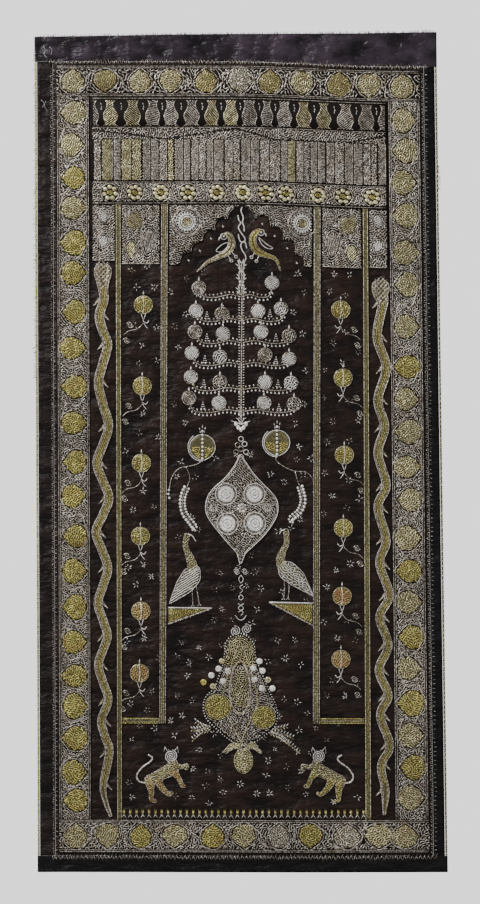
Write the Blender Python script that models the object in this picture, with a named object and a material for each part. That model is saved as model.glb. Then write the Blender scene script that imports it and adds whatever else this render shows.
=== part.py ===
"""A metal-thread embroidered wall hanging: a satin ground with plain border strips, edging braids,
raised leaf bands, worked panels round a lobed arch, and padded motifs laid on the ground.

Frame: the origin is the middle of the top edge on the flat back of the heading. +X is the viewer's
right, +Z is up, and the worked side faces -Y. Every size below is in millimetres. A place on the cloth
is given as x and depth, the distance below the top edge, before the hanging is pulled out of square.
A lift is a distance in front of the back of the ground cloth.
"""

import math

import bmesh
import bpy
from mathutils import Vector

MM = 0.001
LENGTH = 1927.0
GAP = 0.3

# Outline of the cloth and of the parts laid on it
LEFT_EDGE, RIGHT_EDGE = -473.0, 452.0
EDGING_WIDTH = 5.5
SEAM_LEFT, SEAM_RIGHT = -431.0, 421.0
SEAM_TOP, SEAM_BOTTOM = 64.0, 1889.0
BAND_LEFT, BAND_RIGHT = (-422.0, -348.0), (339.0, 411.0)
TOP_BAND, BOTTOM_BAND = (73.0, 144.0), (1806.0, 1881.0)
FRIEZE, FLUTED, ROSETTES = (147.0, 216.0), (217.0, 338.0), (339.0, 391.0)
PANEL_TOP = 392.0
HEM_DEPTH = 15.0

# Lifts and thicknesses
GROUND_FRONT = 1.5
HEM_FRONT = 3.2
LAID = GROUND_FRONT + 0.55
BAND_FRONT = LAID + 1.4
LEAF_LIFT = 3.2
CORD_LIFT = 2.6
PADDING_LIFT = 3.0
FUSE_STEP = 0.12

# Repeats
SIDE_LEAVES, CROSS_LEAVES = 21, 11
FLASKS, FLUTES, ROSETTE_COUNT = 15, 30, 11
CLOTH_STEP = 70.0

# How far each line of x leans to the right by the hem, as columns x and lean
LEAN = ((-480, 8), (-350, 6), (-281, 5), (-172, -8), (0, 3), (178, -4), (286, 9), (350, 21), (480, 27))
# Height of the top edge, as columns x and depth
TOP_EDGE = ((-480, 7), (-300, 4), (-140, 1), (0, 0), (250, -1), (452, -4))
TILT, TILT_FROM, TILT_TO = 12.0, -20.0, 360.0

# The panels under the rosettes, as columns name, left, right and depth of the lower edge
SIDE_PANELS = (("side_panel_left", -342.0, -288.0, 522.0), ("mid_panel_left", -274.0, -182.0, 530.0),
               ("mid_panel_right", 188.0, 279.0, 530.0), ("side_panel_right", 293.0, 335.0, 528.0))
FRIEZE_LEFT, FRIEZE_RIGHT = -342.0, 335.0

# The arch opening, as columns x of a lobe, depth of its centre and radius
LOBES = ((3, 429, 31), (-39, 443, 18), (-66, 471, 18), (-91, 499, 19), (-117, 521, 18), (51, 436, 18),
         (80, 463, 20), (109, 490, 18), (131, 523, 17))
ARCH_LEFT, ARCH_RIGHT, ARCH_FOOT, LOBE_STEP = -162.0, 168.0, 532.0, 4.5

# The pillars, as columns side, x of the outer one and x of the inner one
PILLARS = (("left", -281.0, -172.0), ("right", 286.0, 178.0))
PILLAR_FOOT, OUTER_HALF, INNER_HALF, FOOT_HALF = 1579.0, 5.6, 7.6, 6.4

# The fruit tree, as columns depth at the trunk, rise, reach to the left and reach to the right
TREE_X, TREE_TOP, TREE_FOOT = 2.0, 545.0, 905.0
TIERS = ((607, 3, 98, 76), (662, 6, 103, 94), (718, 9, 106, 112), (770, 11, 112, 117), (826, 14, 116, 120),
         (882, 18, 121, 124))
FRUIT_RADIUS = 15.0

# Pomegranates between the pillars, as columns x and depth
POMEGRANATES = ((-222, 623), (-225, 809), (-227, 986), (-229, 1155), (-228, 1327), (-231, 1470),
                (231, 635), (236, 791), (239, 968), (236, 1136), (233, 1292), (230, 1437))
POMEGRANATE_RADIUS = 22.0
GREAT_POMEGRANATES = ((-87, 945), (85, 939))
GREAT_RADIUS = 31.0

# The medallion, its flowers, and the bouquet as columns depth and half width
CENTRE_X = 2.0
MEDALLION_TOP, MEDALLION_FOOT, MEDALLION_HALF = 970.0, 1220.0, 84.0
MEDALLION_ROSETTES = ((-32, 1058), (33, 1058), (-30, 1124), (33, 1122))
BOUQUET = ((1386, 16), (1402, 30), (1430, 42), (1470, 50), (1510, 66), (1545, 84), (1575, 84), (1600, 62),
           (1622, 34), (1636, 14))
BOUQUET_FRUITS = (("left", -46.0, 1552.0), ("right", 52.0, 1564.0))

# The lions, as columns side, x and depth of the face, and 1 for facing right
LIONS = (("left", -152.0, 1660.0, 1), ("right", 184.0, 1660.0, -1))


def smooth(value, low, high):
    """An even ramp from 0 at low to 1 at high."""
    t = min(1.0, max(0.0, (value - low) / (high - low)))
    return t * t * (3 - 2 * t)


def between(table, at):
    """The value at a place in a table of places and values, on straight lines."""
    for (a, value_a), (b, value_b) in zip(table, table[1:]):
        if at <= b:
            t = max(0.0, (at - a) / (b - a))
            return value_a + t * (value_b - value_a)
    return table[-1][1]


def drape(x, depth):
    """How far the hung cloth swings forward, growing from nothing at the heading."""
    held = smooth(depth, 62, 700)
    across = 3.4 * math.sin(2 * math.pi * (x + 90) / 1080)
    down = 2.6 * math.sin(2 * math.pi * (depth - 250) / 1290 + 0.002 * x)
    return held * (across + down + 4.0)


def cloth_point(x, depth, lift):
    """The point in metres that lies over a place on the cloth, pulled out of square and draped."""
    leaning = x + between(LEAN, x) * depth / LENGTH
    tilt = TILT * smooth(x, TILT_FROM, TILT_TO) * smooth(depth, 0, 70) * (1 - smooth(depth, 600, 1100))
    return Vector((leaning * MM, -(lift + drape(x, depth)) * MM, -(depth + tilt) * MM))


def material(name, colour, roughness, metallic=0.0):
    """A plain Principled material."""
    made = bpy.data.materials.new(name)
    made.use_nodes = True
    shader = made.node_tree.nodes["Principled BSDF"]
    shader.inputs["Base Color"].default_value = (*colour, 1.0)
    shader.inputs["Roughness"].default_value = roughness
    shader.inputs["Metallic"].default_value = metallic
    return made


class Shell:
    """A closed solid between a front and a back sheet that share one outline."""

    def __init__(self):
        self.mesh = bmesh.new()
        self.corner = {}
        self.place = {}

    def point(self, side, x, depth, lift):
        """The vertex of one side at a place on the cloth, made once."""
        key = (side, round(x, 1), round(depth, 1))
        if key not in self.corner:
            self.corner[key] = self.mesh.verts.new(cloth_point(x, depth, lift))
            self.place[self.corner[key]] = key
        return self.corner[key]

    def sheet(self, side, faces, lift):
        """One side, from faces given as lists of places; lift is a number or a function of x and depth."""
        height = lift if callable(lift) else (lambda x, depth: lift)
        for face in faces:
            self.mesh.faces.new([self.point(side, x, depth, height(x, depth)) for x, depth in face])

    def finish(self, name, finish):
        """Joins the two sides along their outline and makes the object."""
        rim = [e for e in self.mesh.edges if e.is_boundary and self.place[e.verts[0]][0] == "front"]
        for edge in rim:
            a, b = edge.verts
            back = [self.corner[("back", *self.place[v][1:])] for v in (b, a)]
            self.mesh.faces.new([a, b, *back])
        bmesh.ops.triangulate(self.mesh, faces=self.mesh.faces[:])
        bmesh.ops.recalc_face_normals(self.mesh, faces=self.mesh.faces[:])
        data = bpy.data.meshes.new(name)
        self.mesh.to_mesh(data)
        self.mesh.free()
        data.materials.append(finish)
        made = bpy.data.objects.new(name, data)
        bpy.context.scene.collection.objects.link(made)
        return made


def steps(low, high, step):
    """Evenly spaced values from low to high, at most step apart."""
    count = max(1, math.ceil(abs(high - low) / step - 1e-6))
    return [low + (high - low) * k / count for k in range(count + 1)]


def grid_faces(columns, rows, place):
    """The four-cornered faces of a grid whose corners are placed by a function of column and row."""
    return [[place(a, c), place(b, c), place(b, d), place(a, d)]
            for a, b in zip(columns, columns[1:]) for c, d in zip(rows, rows[1:])]


def panel(name, columns, rows, finish, back=LAID, front=BAND_FRONT, place=None):
    """A flat piece of cloth over a grid of columns and rows."""
    shell = Shell()
    faces = grid_faces(columns, rows, place or (lambda x, depth: (x, depth)))
    shell.sheet("front", faces, front)
    shell.sheet("back", faces, back)
    return shell.finish(name, finish)


def ribbon(name, path, half_widths, finish, back=LAID, edge=LAID + 1.0, crest=LAID + CORD_LIFT):
    """A padded strip along a path of places, with a half width at each, highest along its middle."""
    shell = Shell()
    rows = []
    for k, (x, depth) in enumerate(path):
        before, after = path[max(0, k - 1)], path[min(len(path) - 1, k + 1)]
        along = Vector((after[0] - before[0], after[1] - before[1])).normalized()
        half = half_widths[k] if hasattr(half_widths, "__len__") else half_widths
        rows.append([(x - along.y * half * s, depth + along.x * half * s) for s in (-1, 0, 1)])
    for row, following in zip(rows, rows[1:]):
        for s in (0, 1):
            corners = [row[s], row[s + 1], following[s + 1], following[s]]
            for side, lifts in (("front", (edge, crest, edge)), ("back", (back, back, back))):
                order = (s, s + 1, s + 1, s)
                shell.mesh.faces.new([shell.point(side, *p, lifts[i]) for p, i in zip(corners, order)])
    return shell.finish(name, finish)


def ring(x, depth, radius, count, squeeze=1.0):
    """Places round an ellipse."""
    return [(x + radius * math.sin(2 * math.pi * k / count),
             depth - radius * squeeze * math.cos(2 * math.pi * k / count)) for k in range(count)]


def boss(name, x, depth, radius, finish, back=LAID, height=PADDING_LIFT, squeeze=1.0, sides=10):
    """A low padded disc with a sloping rim."""
    shell = Shell()
    outer = ring(x, depth, radius, sides, squeeze)
    inner = ring(x, depth, radius * 0.72, sides, squeeze)
    lifts = {**{p: back + height * 0.45 for p in outer}, **{p: back + height for p in inner}}
    slope = [[outer[k - 1], outer[k], inner[k], inner[k - 1]] for k in range(sides)]
    shell.sheet("front", slope + [inner], lambda px, pd: lifts[(px, pd)])
    shell.sheet("back", [outer], back)
    return shell.finish(name, finish)


def disc(name, x, depth, radius, finish, back, height=2.4, sides=9):
    """A flat padded disc."""
    shell = Shell()
    outline = ring(x, depth, radius, sides)
    shell.sheet("front", [outline], back + height)
    shell.sheet("back", [outline], back)
    return shell.finish(name, finish)


def relief_band(name, cells, outline, rise, finish):
    """A band of cells, each a box on the cloth with a motif of eight points raised or sunk in it.

    cells lists each box as its left, right, top and bottom; outline(k, box) gives the motif's eight
    points, which start at the box's top left corner and run clockwise.
    """
    shell = Shell()
    for k, box in enumerate(cells):
        left, right, top, bottom = box
        frame = [(left, top), (right, top), (right, bottom), (left, bottom)]
        motif = outline(k, box)
        centre = (sum(p[0] for p in motif) / 8, sum(p[1] for p in motif) / 8)
        top_ring = [(centre[0] + 0.62 * (x - centre[0]), centre[1] + 0.62 * (d - centre[1])) for x, d in motif]
        high = set(top_ring)
        faces = [[frame[i - 1], frame[i], motif[2 * i], motif[2 * i - 1], motif[2 * i - 2]] for i in range(4)]
        faces += [[motif[i - 1], motif[i], top_ring[i], top_ring[i - 1]] for i in range(8)] + [top_ring]
        shell.sheet("front", faces, lambda x, d: BAND_FRONT + (rise if (x, d) in high else 0))
        shell.sheet("back", [frame], LAID)
    return shell.finish(name, finish)


def leaf_outline(k, box, upright):
    """A heart-like leaf of eight points in a cell; leaves point to one side and the other in turn."""
    left, right, top, bottom = box
    x, depth = (left + right) / 2, (top + bottom) / 2
    half, turn = 25.0, 1 if k % 2 else -1
    plain = [(-0.72, -0.80), (0.05, -0.98), (0.78, -0.62), (1.15, 0.0), (0.78, 0.62), (0.05, 0.98),
             (-0.72, 0.80), (-1.0, 0.0)]
    if upright:
        shaped = [(x + half * b, depth - turn * half * a) for a, b in plain]
    else:
        shaped = [(x + turn * half * a, depth + half * b) for a, b in plain]
    centre_first = (left, top)
    start = min(range(8), key=lambda i: math.dist(shaped[i], centre_first))
    shaped = shaped[start:] + shaped[:start]
    clockwise = sum(a[0] * b[1] - b[0] * a[1] for a, b in zip(shaped, shaped[1:] + shaped[:1])) > 0
    return shaped if clockwise else [shaped[0]] + shaped[:0:-1]


def flask_outline(k, box):
    """A flask of eight points: a round bulb over a slim neck and a small foot."""
    left, right, top, bottom = box
    x, high = (left + right) / 2, bottom - top
    bulb = 13.0 + 3.0 * math.sin(2.1 * k)
    return [(x - 0.7 * bulb, top + 0.06 * high), (x, top + 0.02 * high), (x + 0.7 * bulb, top + 0.06 * high),
            (x + bulb, top + 0.30 * high), (x + 0.62 * bulb, bottom - 0.06 * high), (x, bottom - 0.04 * high),
            (x - 0.62 * bulb, bottom - 0.06 * high), (x - bulb, top + 0.30 * high)]


def rosette_outline(k, box):
    """A round flower of eight points."""
    left, right, top, bottom = box
    points = ring((left + right) / 2, (top + bottom) / 2, 17.5, 8)
    return points[-1:] + points[:-1]


def row_cells(left, right, count, top, bottom):
    """Boxes of one width from left to right."""
    width = (right - left) / count
    return [(left + k * width, left + (k + 1) * width, top, bottom) for k in range(count)]


def column_cells(left, right, count, top, bottom):
    """Boxes of one height from top to bottom."""
    height = (bottom - top) / count
    return [(left, right, top + k * height, top + (k + 1) * height) for k in range(count)]


def fuse(name, parts):
    """Joins overlapping solids into one, and leaves one object."""
    base, others = parts[0], parts[1:]
    group = bpy.data.collections.new(name + "_parts")
    for part in others:
        group.objects.link(part)
    union = base.modifiers.new("union", "BOOLEAN")
    union.operation, union.operand_type, union.collection = "UNION", "COLLECTION", group
    joined = bpy.data.meshes.new_from_object(base.evaluated_get(bpy.context.evaluated_depsgraph_get()))
    base.modifiers.clear()
    base.data = joined
    base.name = name
    for part in others:
        bpy.data.objects.remove(part)
    bpy.data.collections.remove(group)
    return base


def layered(parts):
    """Makes each ribbon or boss of a list a little higher than the last, so that none share a face."""
    return [make(LAID + k * FUSE_STEP) for k, make in enumerate(parts)]


def build_cloth(satin, border, braid):
    """The ground, its four border strips and the edging braid down each side."""
    depths = steps(SEAM_TOP, SEAM_BOTTOM, CLOTH_STEP)
    columns = steps(SEAM_LEFT, SEAM_RIGHT, CLOTH_STEP)
    across = [LEFT_EDGE] + columns + [RIGHT_EDGE]
    panel("field_cloth", columns, depths, satin, 0.0, GROUND_FRONT)

    def heading_place(x, depth):
        return x, depth + between(TOP_EDGE, x) * (1 - depth / SEAM_TOP)

    def heading_lift(x, depth):
        return HEM_FRONT if depth < HEM_DEPTH + between(TOP_EDGE, x) * 0.8 else GROUND_FRONT

    rows = [0.0, HEM_DEPTH - 3, HEM_DEPTH + 1, 40.0, SEAM_TOP - GAP]
    panel("top_strip", across, rows, border, 0.0, heading_lift, heading_place)
    panel("bottom_strip", across, [SEAM_BOTTOM + GAP, 1908.0, LENGTH], border, 0.0, GROUND_FRONT)
    for side, outer, seam, sign in (("left", LEFT_EDGE, SEAM_LEFT, -1), ("right", RIGHT_EDGE, SEAM_RIGHT, 1)):
        inner, outside = seam + sign * GAP, outer - sign * (EDGING_WIDTH + GAP)
        panel(side + "_strip", [inner, outside], depths, border, 0.0, GROUND_FRONT)
        middle = outer - sign * EDGING_WIDTH / 2
        ribbon(side + "_edging", [(middle, d) for d in depths], EDGING_WIDTH / 2, braid, 0.0, 1.4, 3.4)


def build_bands(silver):
    """The four bands of leaves round the field."""
    top, bottom = TOP_BAND[1] + GAP, BOTTOM_BAND[0] - GAP
    for side, (left, right) in (("left", BAND_LEFT), ("right", BAND_RIGHT)):
        relief_band("leaf_band_" + side, column_cells(left, right, SIDE_LEAVES, top, bottom),
                    lambda k, box: leaf_outline(k, box, False), LEAF_LIFT, silver)
    for side, (top, bottom) in (("top", TOP_BAND), ("bottom", BOTTOM_BAND)):
        relief_band("leaf_band_" + side, row_cells(BAND_LEFT[0], BAND_RIGHT[1], CROSS_LEAVES, top, bottom),
                    lambda k, box: leaf_outline(k, box, True), LEAF_LIFT, silver)


def arch_depth(x):
    """Depth of the arch panel's lower edge: level beside the opening, and lobed over it."""
    found = [depth - math.sqrt(radius ** 2 - (x - middle) ** 2)
             for middle, depth, radius in LOBES if abs(x - middle) <= radius]
    return min(found) if found else ARCH_FOOT


def build_panels(silver):
    """The frieze of flasks, the fluted panel, the row of rosettes and the panels round the arch."""
    left, right = FRIEZE_LEFT, FRIEZE_RIGHT
    relief_band("flask_frieze", row_cells(left, right, FLASKS, *FRIEZE), flask_outline, -1.0, silver)
    flutes = steps(left, right, (right - left) / (2 * FLUTES))
    raised = {x for k, x in enumerate(flutes) if k % 2}
    panel("fluted_panel", flutes, [FLUTED[0], FLUTED[0] + 26, FLUTED[1]], silver,
          front=lambda x, depth: BAND_FRONT + (1.2 if x in raised and depth > FLUTED[0] + 20 else 0))
    relief_band("rosette_band", row_cells(left, right, ROSETTE_COUNT, *ROSETTES), rosette_outline, 1.8, silver)
    for name, side_left, side_right, bottom in SIDE_PANELS:
        panel(name, steps(side_left, side_right, 46), steps(PANEL_TOP, bottom, 70), silver)
    opening = min(m - r for m, depth, r in LOBES), max(m + r for m, depth, r in LOBES)
    columns = [ARCH_LEFT, *steps(*opening, LOBE_STEP), ARCH_RIGHT]
    panel("arch_panel", columns, [0.0, 1.0], silver,
          place=lambda x, t: (x, PANEL_TOP + t * (arch_depth(x) - PANEL_TOP)))


def build_pillars(gold):
    """Two long pillars and two inner pillars that turn outwards in a foot."""
    for side, outer, inner in PILLARS:
        sign = 1 if outer > 0 else -1
        ribbon("outer_pillar_" + side, [(outer, d) for d in steps(PANEL_TOP, BOTTOM_BAND[0] - GAP, 60)],
               OUTER_HALF, gold)
        shaft = [(inner, d) for d in steps(PANEL_TOP, PILLAR_FOOT - 12, 60)]
        turn = [(inner + sign * 2, PILLAR_FOOT - 2)]
        foot = [(x, PILLAR_FOOT) for x in steps(inner + sign * 12, outer - sign * (OUTER_HALF + 0.6), 48)]
        widths = [INNER_HALF] * len(shaft) + [INNER_HALF + 1] + [FOOT_HALF] * len(foot)
        ribbon("inner_pillar_" + side, shaft + turn + foot, widths, gold)


def serpent_path(centre, swing, pitch, first, top, bottom):
    """Places down a weaving body, six to each half wave."""
    return [(centre - swing * math.cos(2 * math.pi * (depth - first) / pitch), depth)
            for depth in steps(top, bottom, pitch / 8)]


def build_serpents(gold):
    """Two long serpents with broad hoods, tapering to the lower band."""
    for side, centre, swing, pitch, first, top, brow in (
        ("left", -317.0, 11.0, 156.0, 649.0, 600.0, -315.0), ("right", 317.0, 10.0, 131.0, 700.0, 628.0, 319.5),
    ):
        body = serpent_path(centre, swing, pitch, first, top, BOTTOM_BAND[0] - 3)
        hood = [(brow, top - 64), (brow, top - 54), (brow, top - 38), ((brow + body[0][0]) / 2, top - 16)]
        widths = [9.0, 17.0, 18.5, 12.0] + [9.4 - 5.5 * smooth(d, 1690, 1803) for x, d in body]
        ribbon("serpent_" + side, hood + body, widths, gold, edge=LAID + 1.2, crest=LAID + 4.0)


def branch_path(tier, sign):
    """Places along one branch, which leaves the trunk, rises and turns up at its end."""
    depth, rise, left, right = tier
    reach = left if sign < 0 else right
    shape = ((0.0, 0.0), (0.28, -1.0), (0.88, -0.6))
    path = [(TREE_X + sign * reach * a, depth + rise * b) for a, b in shape]
    return path + [(TREE_X + sign * reach, depth - rise * 0.6 - 12)]


def fruit_places(tier, sign):
    """Centres of the fruits that stand on one branch: the outer one, and the inner one on all but the top."""
    depth, rise, left, right = tier
    reach = left if sign < 0 else right
    outer = (TREE_X + sign * reach, depth - rise * 0.6 - 24)
    inner = (TREE_X + sign * 0.42 * reach, depth - rise * 0.85 - FRUIT_RADIUS + 0.5)
    return [outer] if tier is TIERS[0] else [outer, inner]


def build_tree(silver):
    """The fruit tree: trunk, six pairs of branches and their round fruits, as one solid."""
    parts = [lambda back: ribbon("trunk", [(TREE_X, d) for d in (TREE_TOP, 600, 700, 800, TREE_FOOT)],
                                 [2.0, 6.0, 4.0, 4.0, 3.0], silver, back, back + 0.9, back + 2.9)]
    for tier in TIERS:
        for sign in (-1, 1):
            path = branch_path(tier, sign)
            parts.append(lambda back, path=path: ribbon("branch", path, 3.4, silver, back, back + 1.0, back + 1.8))
            for x, depth in fruit_places(tier, sign):
                parts.append(lambda back, x=x, depth=depth: disc("fruit", x, depth, FRUIT_RADIUS, silver, back))
    made = [make(LAID + FUSE_STEP * (k % 5)) for k, make in enumerate(parts)]
    fuse("fruit_tree", made)


def build_centre(silver, gold):
    """The medallion with its rosettes, the great pomegranates, the bouquet and its bud."""
    rows = steps(MEDALLION_TOP, MEDALLION_FOOT, 14)
    rise = [math.sin(math.pi * (d - MEDALLION_TOP) / (MEDALLION_FOOT - MEDALLION_TOP)) for d in rows]
    ribbon("medallion", [(CENTRE_X, d) for d in rows], [MEDALLION_HALF * max(0.05, r) ** 1.35 + 2 for r in rise],
           silver, edge=LAID + 1.5, crest=LAID + 1.5)
    for k, (x, depth) in enumerate(MEDALLION_ROSETTES):
        boss(f"medallion_rosette_{k + 1}", x, depth, 19.0, silver, LAID + 1.5 + GAP, 2.2)
    for side, (x, depth) in zip(("left", "right"), GREAT_POMEGRANATES):
        boss("great_pomegranate_" + side, x, depth, GREAT_RADIUS, gold, squeeze=0.86, sides=14)
    ribbon("bouquet", [(CENTRE_X, d) for d, half in BOUQUET], [half for d, half in BOUQUET], silver,
           edge=LAID + 1.6, crest=LAID + 1.6)
    for side, x, depth in BOUQUET_FRUITS:
        boss("bouquet_fruit_" + side, x, depth, 27.0, gold, LAID + 1.6 + GAP, 2.6, sides=14)
    boss("bud", 4.0, 1670.0, 19.0, gold, squeeze=1.45)


def build_birds(silver, gold):
    """Two small birds under the arch, and two cranes on brackets."""
    for side, sign, drop in (("left", -1, 0.0), ("right", 1, 4.0)):
        shape = ((14, 452, 3), (24, 456, 8), (22, 474, 12), (27, 492, 13), (42, 506, 10), (62, 518, 7),
                 (80, 532 + drop, 5), (92 - drop, 548 + drop, 2))
        path = [(sign * (a + 8) + 3, b) for a, b, half in shape]
        ribbon("arch_bird_" + side, path, [half for a, b, half in shape], silver)
    for side, x, foot, sign in (("left", -101.0, 1316.0, 1), ("right", 102.0, 1302.0, -1)):
        place = standing(x, foot, sign)
        shape = ((-3, 147, 1), (-14, 158, 2.5), (-25, 160, 5), (-28, 144, 4.5), (-22, 120, 5), (-13, 98, 9),
                 (-6, 76, 16), (-16, 53, 18), (-34, 33, 11), (-56, 8, 2))
        body = [place(a, b) for a, b, half in shape]
        widths = [half for a, b, half in shape]
        legs = [[place(a, b) for a, b in leg] for leg in (((-10, 50), (-8, 20), (-8, 2)), ((-4, 54), (3, 22), (5, 2)))]
        parts = [lambda back: ribbon("body", body, widths, silver, back, back + 1.0, back + 3.2)]
        for leg in legs:
            parts.append(lambda back, leg=leg: ribbon("leg", leg, 1.8, silver, back, back + 0.8, back + 1.5))
        fuse("crane_" + side, layered(parts))
        tip, root, deep = place(35, -2), place(-58, -4), place(-58, -36)
        middle = place(-58, -20)
        path = [(tip[0], tip[1]), (middle[0], middle[1])]
        ribbon("bracket_" + side, path, [1.6, abs(deep[1] - root[1]) / 2], gold)


def standing(x, foot, sign):
    """Places a motif that stands at a point of the cloth; sign -1 turns it to face the other way."""
    return lambda across, up: (x + sign * across, foot - up)


def build_lions(gold):
    """Two striding lions with raised forepaws, drawn from the middle of the face."""
    limbs = (
        (((-50, -56), (-36, -50), (-18, -40), (2, -30)), (12.5, 12.5, 13, 14.5)),
        (((4, -34), (4, -18), (1, -6)), (13, 11, 9)),
        (((6, -22), (24, -25), (38, -22)), (7, 4.6, 4)),
        (((8, -36), (18, -52), (27, -69)), (8, 5, 4.2)),
        (((-48, -58), (-46, -78), (-43, -103)), (11, 6.6, 4.2)),
        (((-30, -54), (-20, -74), (0, -86)), (9, 6.6, 4.2)),
    )
    for side, x, depth, sign in LIONS:
        place = standing(x, depth, sign)
        parts = [lambda back, path=path, halves=halves: ribbon(
            "limb", [place(a, b) for a, b in path], halves, gold, back, back + 1.2, back + 2.8)
            for path, halves in limbs]
        parts.append(lambda back: boss("head", x, depth, 16.0, gold, back, 3.4))
        fuse("lion_" + side, layered(parts))


def main():
    """Clears the scene and builds every piece."""
    for old in list(bpy.data.objects):
        bpy.data.objects.remove(old)
    satin = material("dark_satin", (0.027, 0.018, 0.014), 0.45)
    border = material("border_satin", (0.026, 0.019, 0.022), 0.42)
    braid = material("edging_braid", (0.36, 0.29, 0.13), 0.5, 0.5)
    silver = material("silver_thread", (0.42, 0.38, 0.31), 0.4, 0.7)
    gold = material("gold_thread", (0.48, 0.38, 0.16), 0.4, 0.7)
    build_cloth(satin, border, braid)
    build_bands(silver)
    build_panels(silver)
    build_pillars(gold)
    build_serpents(gold)
    build_tree(silver)
    build_centre(silver, gold)
    for k, (x, depth) in enumerate(POMEGRANATES):
        boss(f"pomegranate_{k + 1:02d}", x, depth, POMEGRANATE_RADIUS, gold, squeeze=0.93)
    build_birds(silver, gold)
    build_lions(gold)


main()
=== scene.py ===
"""The looks of a metal-thread embroidered wall hanging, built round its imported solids.

The frame is the row's own: the origin is the middle of the top edge, +X is the viewer's right, +Z is up and
the worked side faces -Y. A place on the cloth is x and depth below the top edge, in millimetres, and a lift
is a distance in front of the back of the ground cloth. A place is either cut, which means before the hanging
is pulled out of square, or hung, which means as it is seen from the front.
"""

from __future__ import annotations

import logging
import math
from dataclasses import dataclass, field
from enum import Enum
from typing import Callable, Sequence

import bpy
import numpy as np
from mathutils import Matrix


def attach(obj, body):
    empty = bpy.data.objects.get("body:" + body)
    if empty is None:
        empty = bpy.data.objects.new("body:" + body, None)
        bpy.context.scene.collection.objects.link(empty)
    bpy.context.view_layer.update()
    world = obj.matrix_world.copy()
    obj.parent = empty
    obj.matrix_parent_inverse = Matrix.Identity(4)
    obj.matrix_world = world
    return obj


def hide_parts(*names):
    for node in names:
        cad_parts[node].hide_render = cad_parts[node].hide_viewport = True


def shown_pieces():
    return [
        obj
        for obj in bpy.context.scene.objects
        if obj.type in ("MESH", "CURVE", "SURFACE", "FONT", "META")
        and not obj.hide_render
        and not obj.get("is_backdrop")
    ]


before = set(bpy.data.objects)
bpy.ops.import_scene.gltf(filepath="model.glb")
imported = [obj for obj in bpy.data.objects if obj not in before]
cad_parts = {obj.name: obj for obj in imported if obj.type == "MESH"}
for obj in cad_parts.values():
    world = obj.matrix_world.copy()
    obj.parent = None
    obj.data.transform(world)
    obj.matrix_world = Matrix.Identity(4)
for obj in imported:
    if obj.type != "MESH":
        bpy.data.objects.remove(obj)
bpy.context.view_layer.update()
LOG = logging.getLogger("hanging")

MM = 0.001
LENGTH = 1927.0
PIXEL = 2.3
MIDDLE_PIXEL, TOP_PIXEL = 240.0, 34.0
FRAME_PIXELS = (480, 904)
CLOTH_FRONT = 1.5
LAID = 2.05
BAND_FRONT = 3.45
SLAB_STEP = 30.0
ON_GROUND = 1.2

Places = np.ndarray
Lift = float | Callable[[np.ndarray, np.ndarray], np.ndarray]
Field = Callable[[np.ndarray, np.ndarray], np.ndarray]


class Finish(Enum):
    """The finishes that a piece can wear."""

    SATIN = "dark_satin"
    BORDER = "border_satin"
    HEADING = "heading_satin"
    FOOT = "foot_satin"
    GROUND = "worked_ground"
    SILVER = "silver_thread"
    WHITE = "bright_silver_thread"
    STRAW = "pale_gold_thread"
    GOLD = "gold_thread"
    COPPER = "tarnished_gold_thread"
    PADDING = "gold_padding"
    BRAID = "edging_braid"
    FIBRE = "pale_fibre"
    SOOT = "dark_thread"


def smooth(value: np.ndarray, low: float, high: float) -> np.ndarray:
    """An even ramp from 0 at low to 1 at high."""
    t = np.clip((value - low) / (high - low), 0.0, 1.0)
    return t * t * (3 - 2 * t)


def seen(*places: Sequence[float]) -> Places:
    """Hung places in millimetres of points read from the photograph in pixels.

    Args:
        places: Points as pixel column and row.

    Returns:
        An array with one row of x and depth for each point.
    """
    at = np.array(places, dtype=float)
    return np.column_stack(((at[:, 0] - MIDDLE_PIXEL) * PIXEL, (at[:, 1] - TOP_PIXEL) * PIXEL))


def curve(points: Places, step: float = 4.0, closed: bool = False) -> Places:
    """An evenly stepped smooth line through a few points.

    Args:
        points: The points that the line passes through.
        step: The distance between places on the line.
        closed: Whether the line returns to its first point.

    Returns:
        The places along the line.
    """
    p = np.asarray(points, dtype=float)
    ring = np.vstack((p[-1:], p, p[:2])) if closed else np.vstack((2 * p[:1] - p[1:2], p,
                                                                   2 * p[-1:] - p[-2:-1]))
    t = np.linspace(0, 1, 12, endpoint=False)[:, None]
    spans = []
    for a, b, c, d in zip(ring, ring[1:], ring[2:], ring[3:]):
        spans.append(0.5 * (2 * b + (c - a) * t + (2 * a - 5 * b + 4 * c - d) * t**2 + (3 * b - a - 3 * c + d) * t**3))
    line = np.vstack(spans + [p[:1] if closed else p[-1:]])
    run = np.concatenate(([0.0], np.cumsum(np.linalg.norm(np.diff(line, axis=0), axis=1))))
    count = max(2, int(round(run[-1] / step)) + 1)
    at = np.linspace(0, run[-1], count)
    even = np.column_stack([np.interp(at, run, line[:, k]) for k in range(2)])
    return even[:-1] if closed else even


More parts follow.
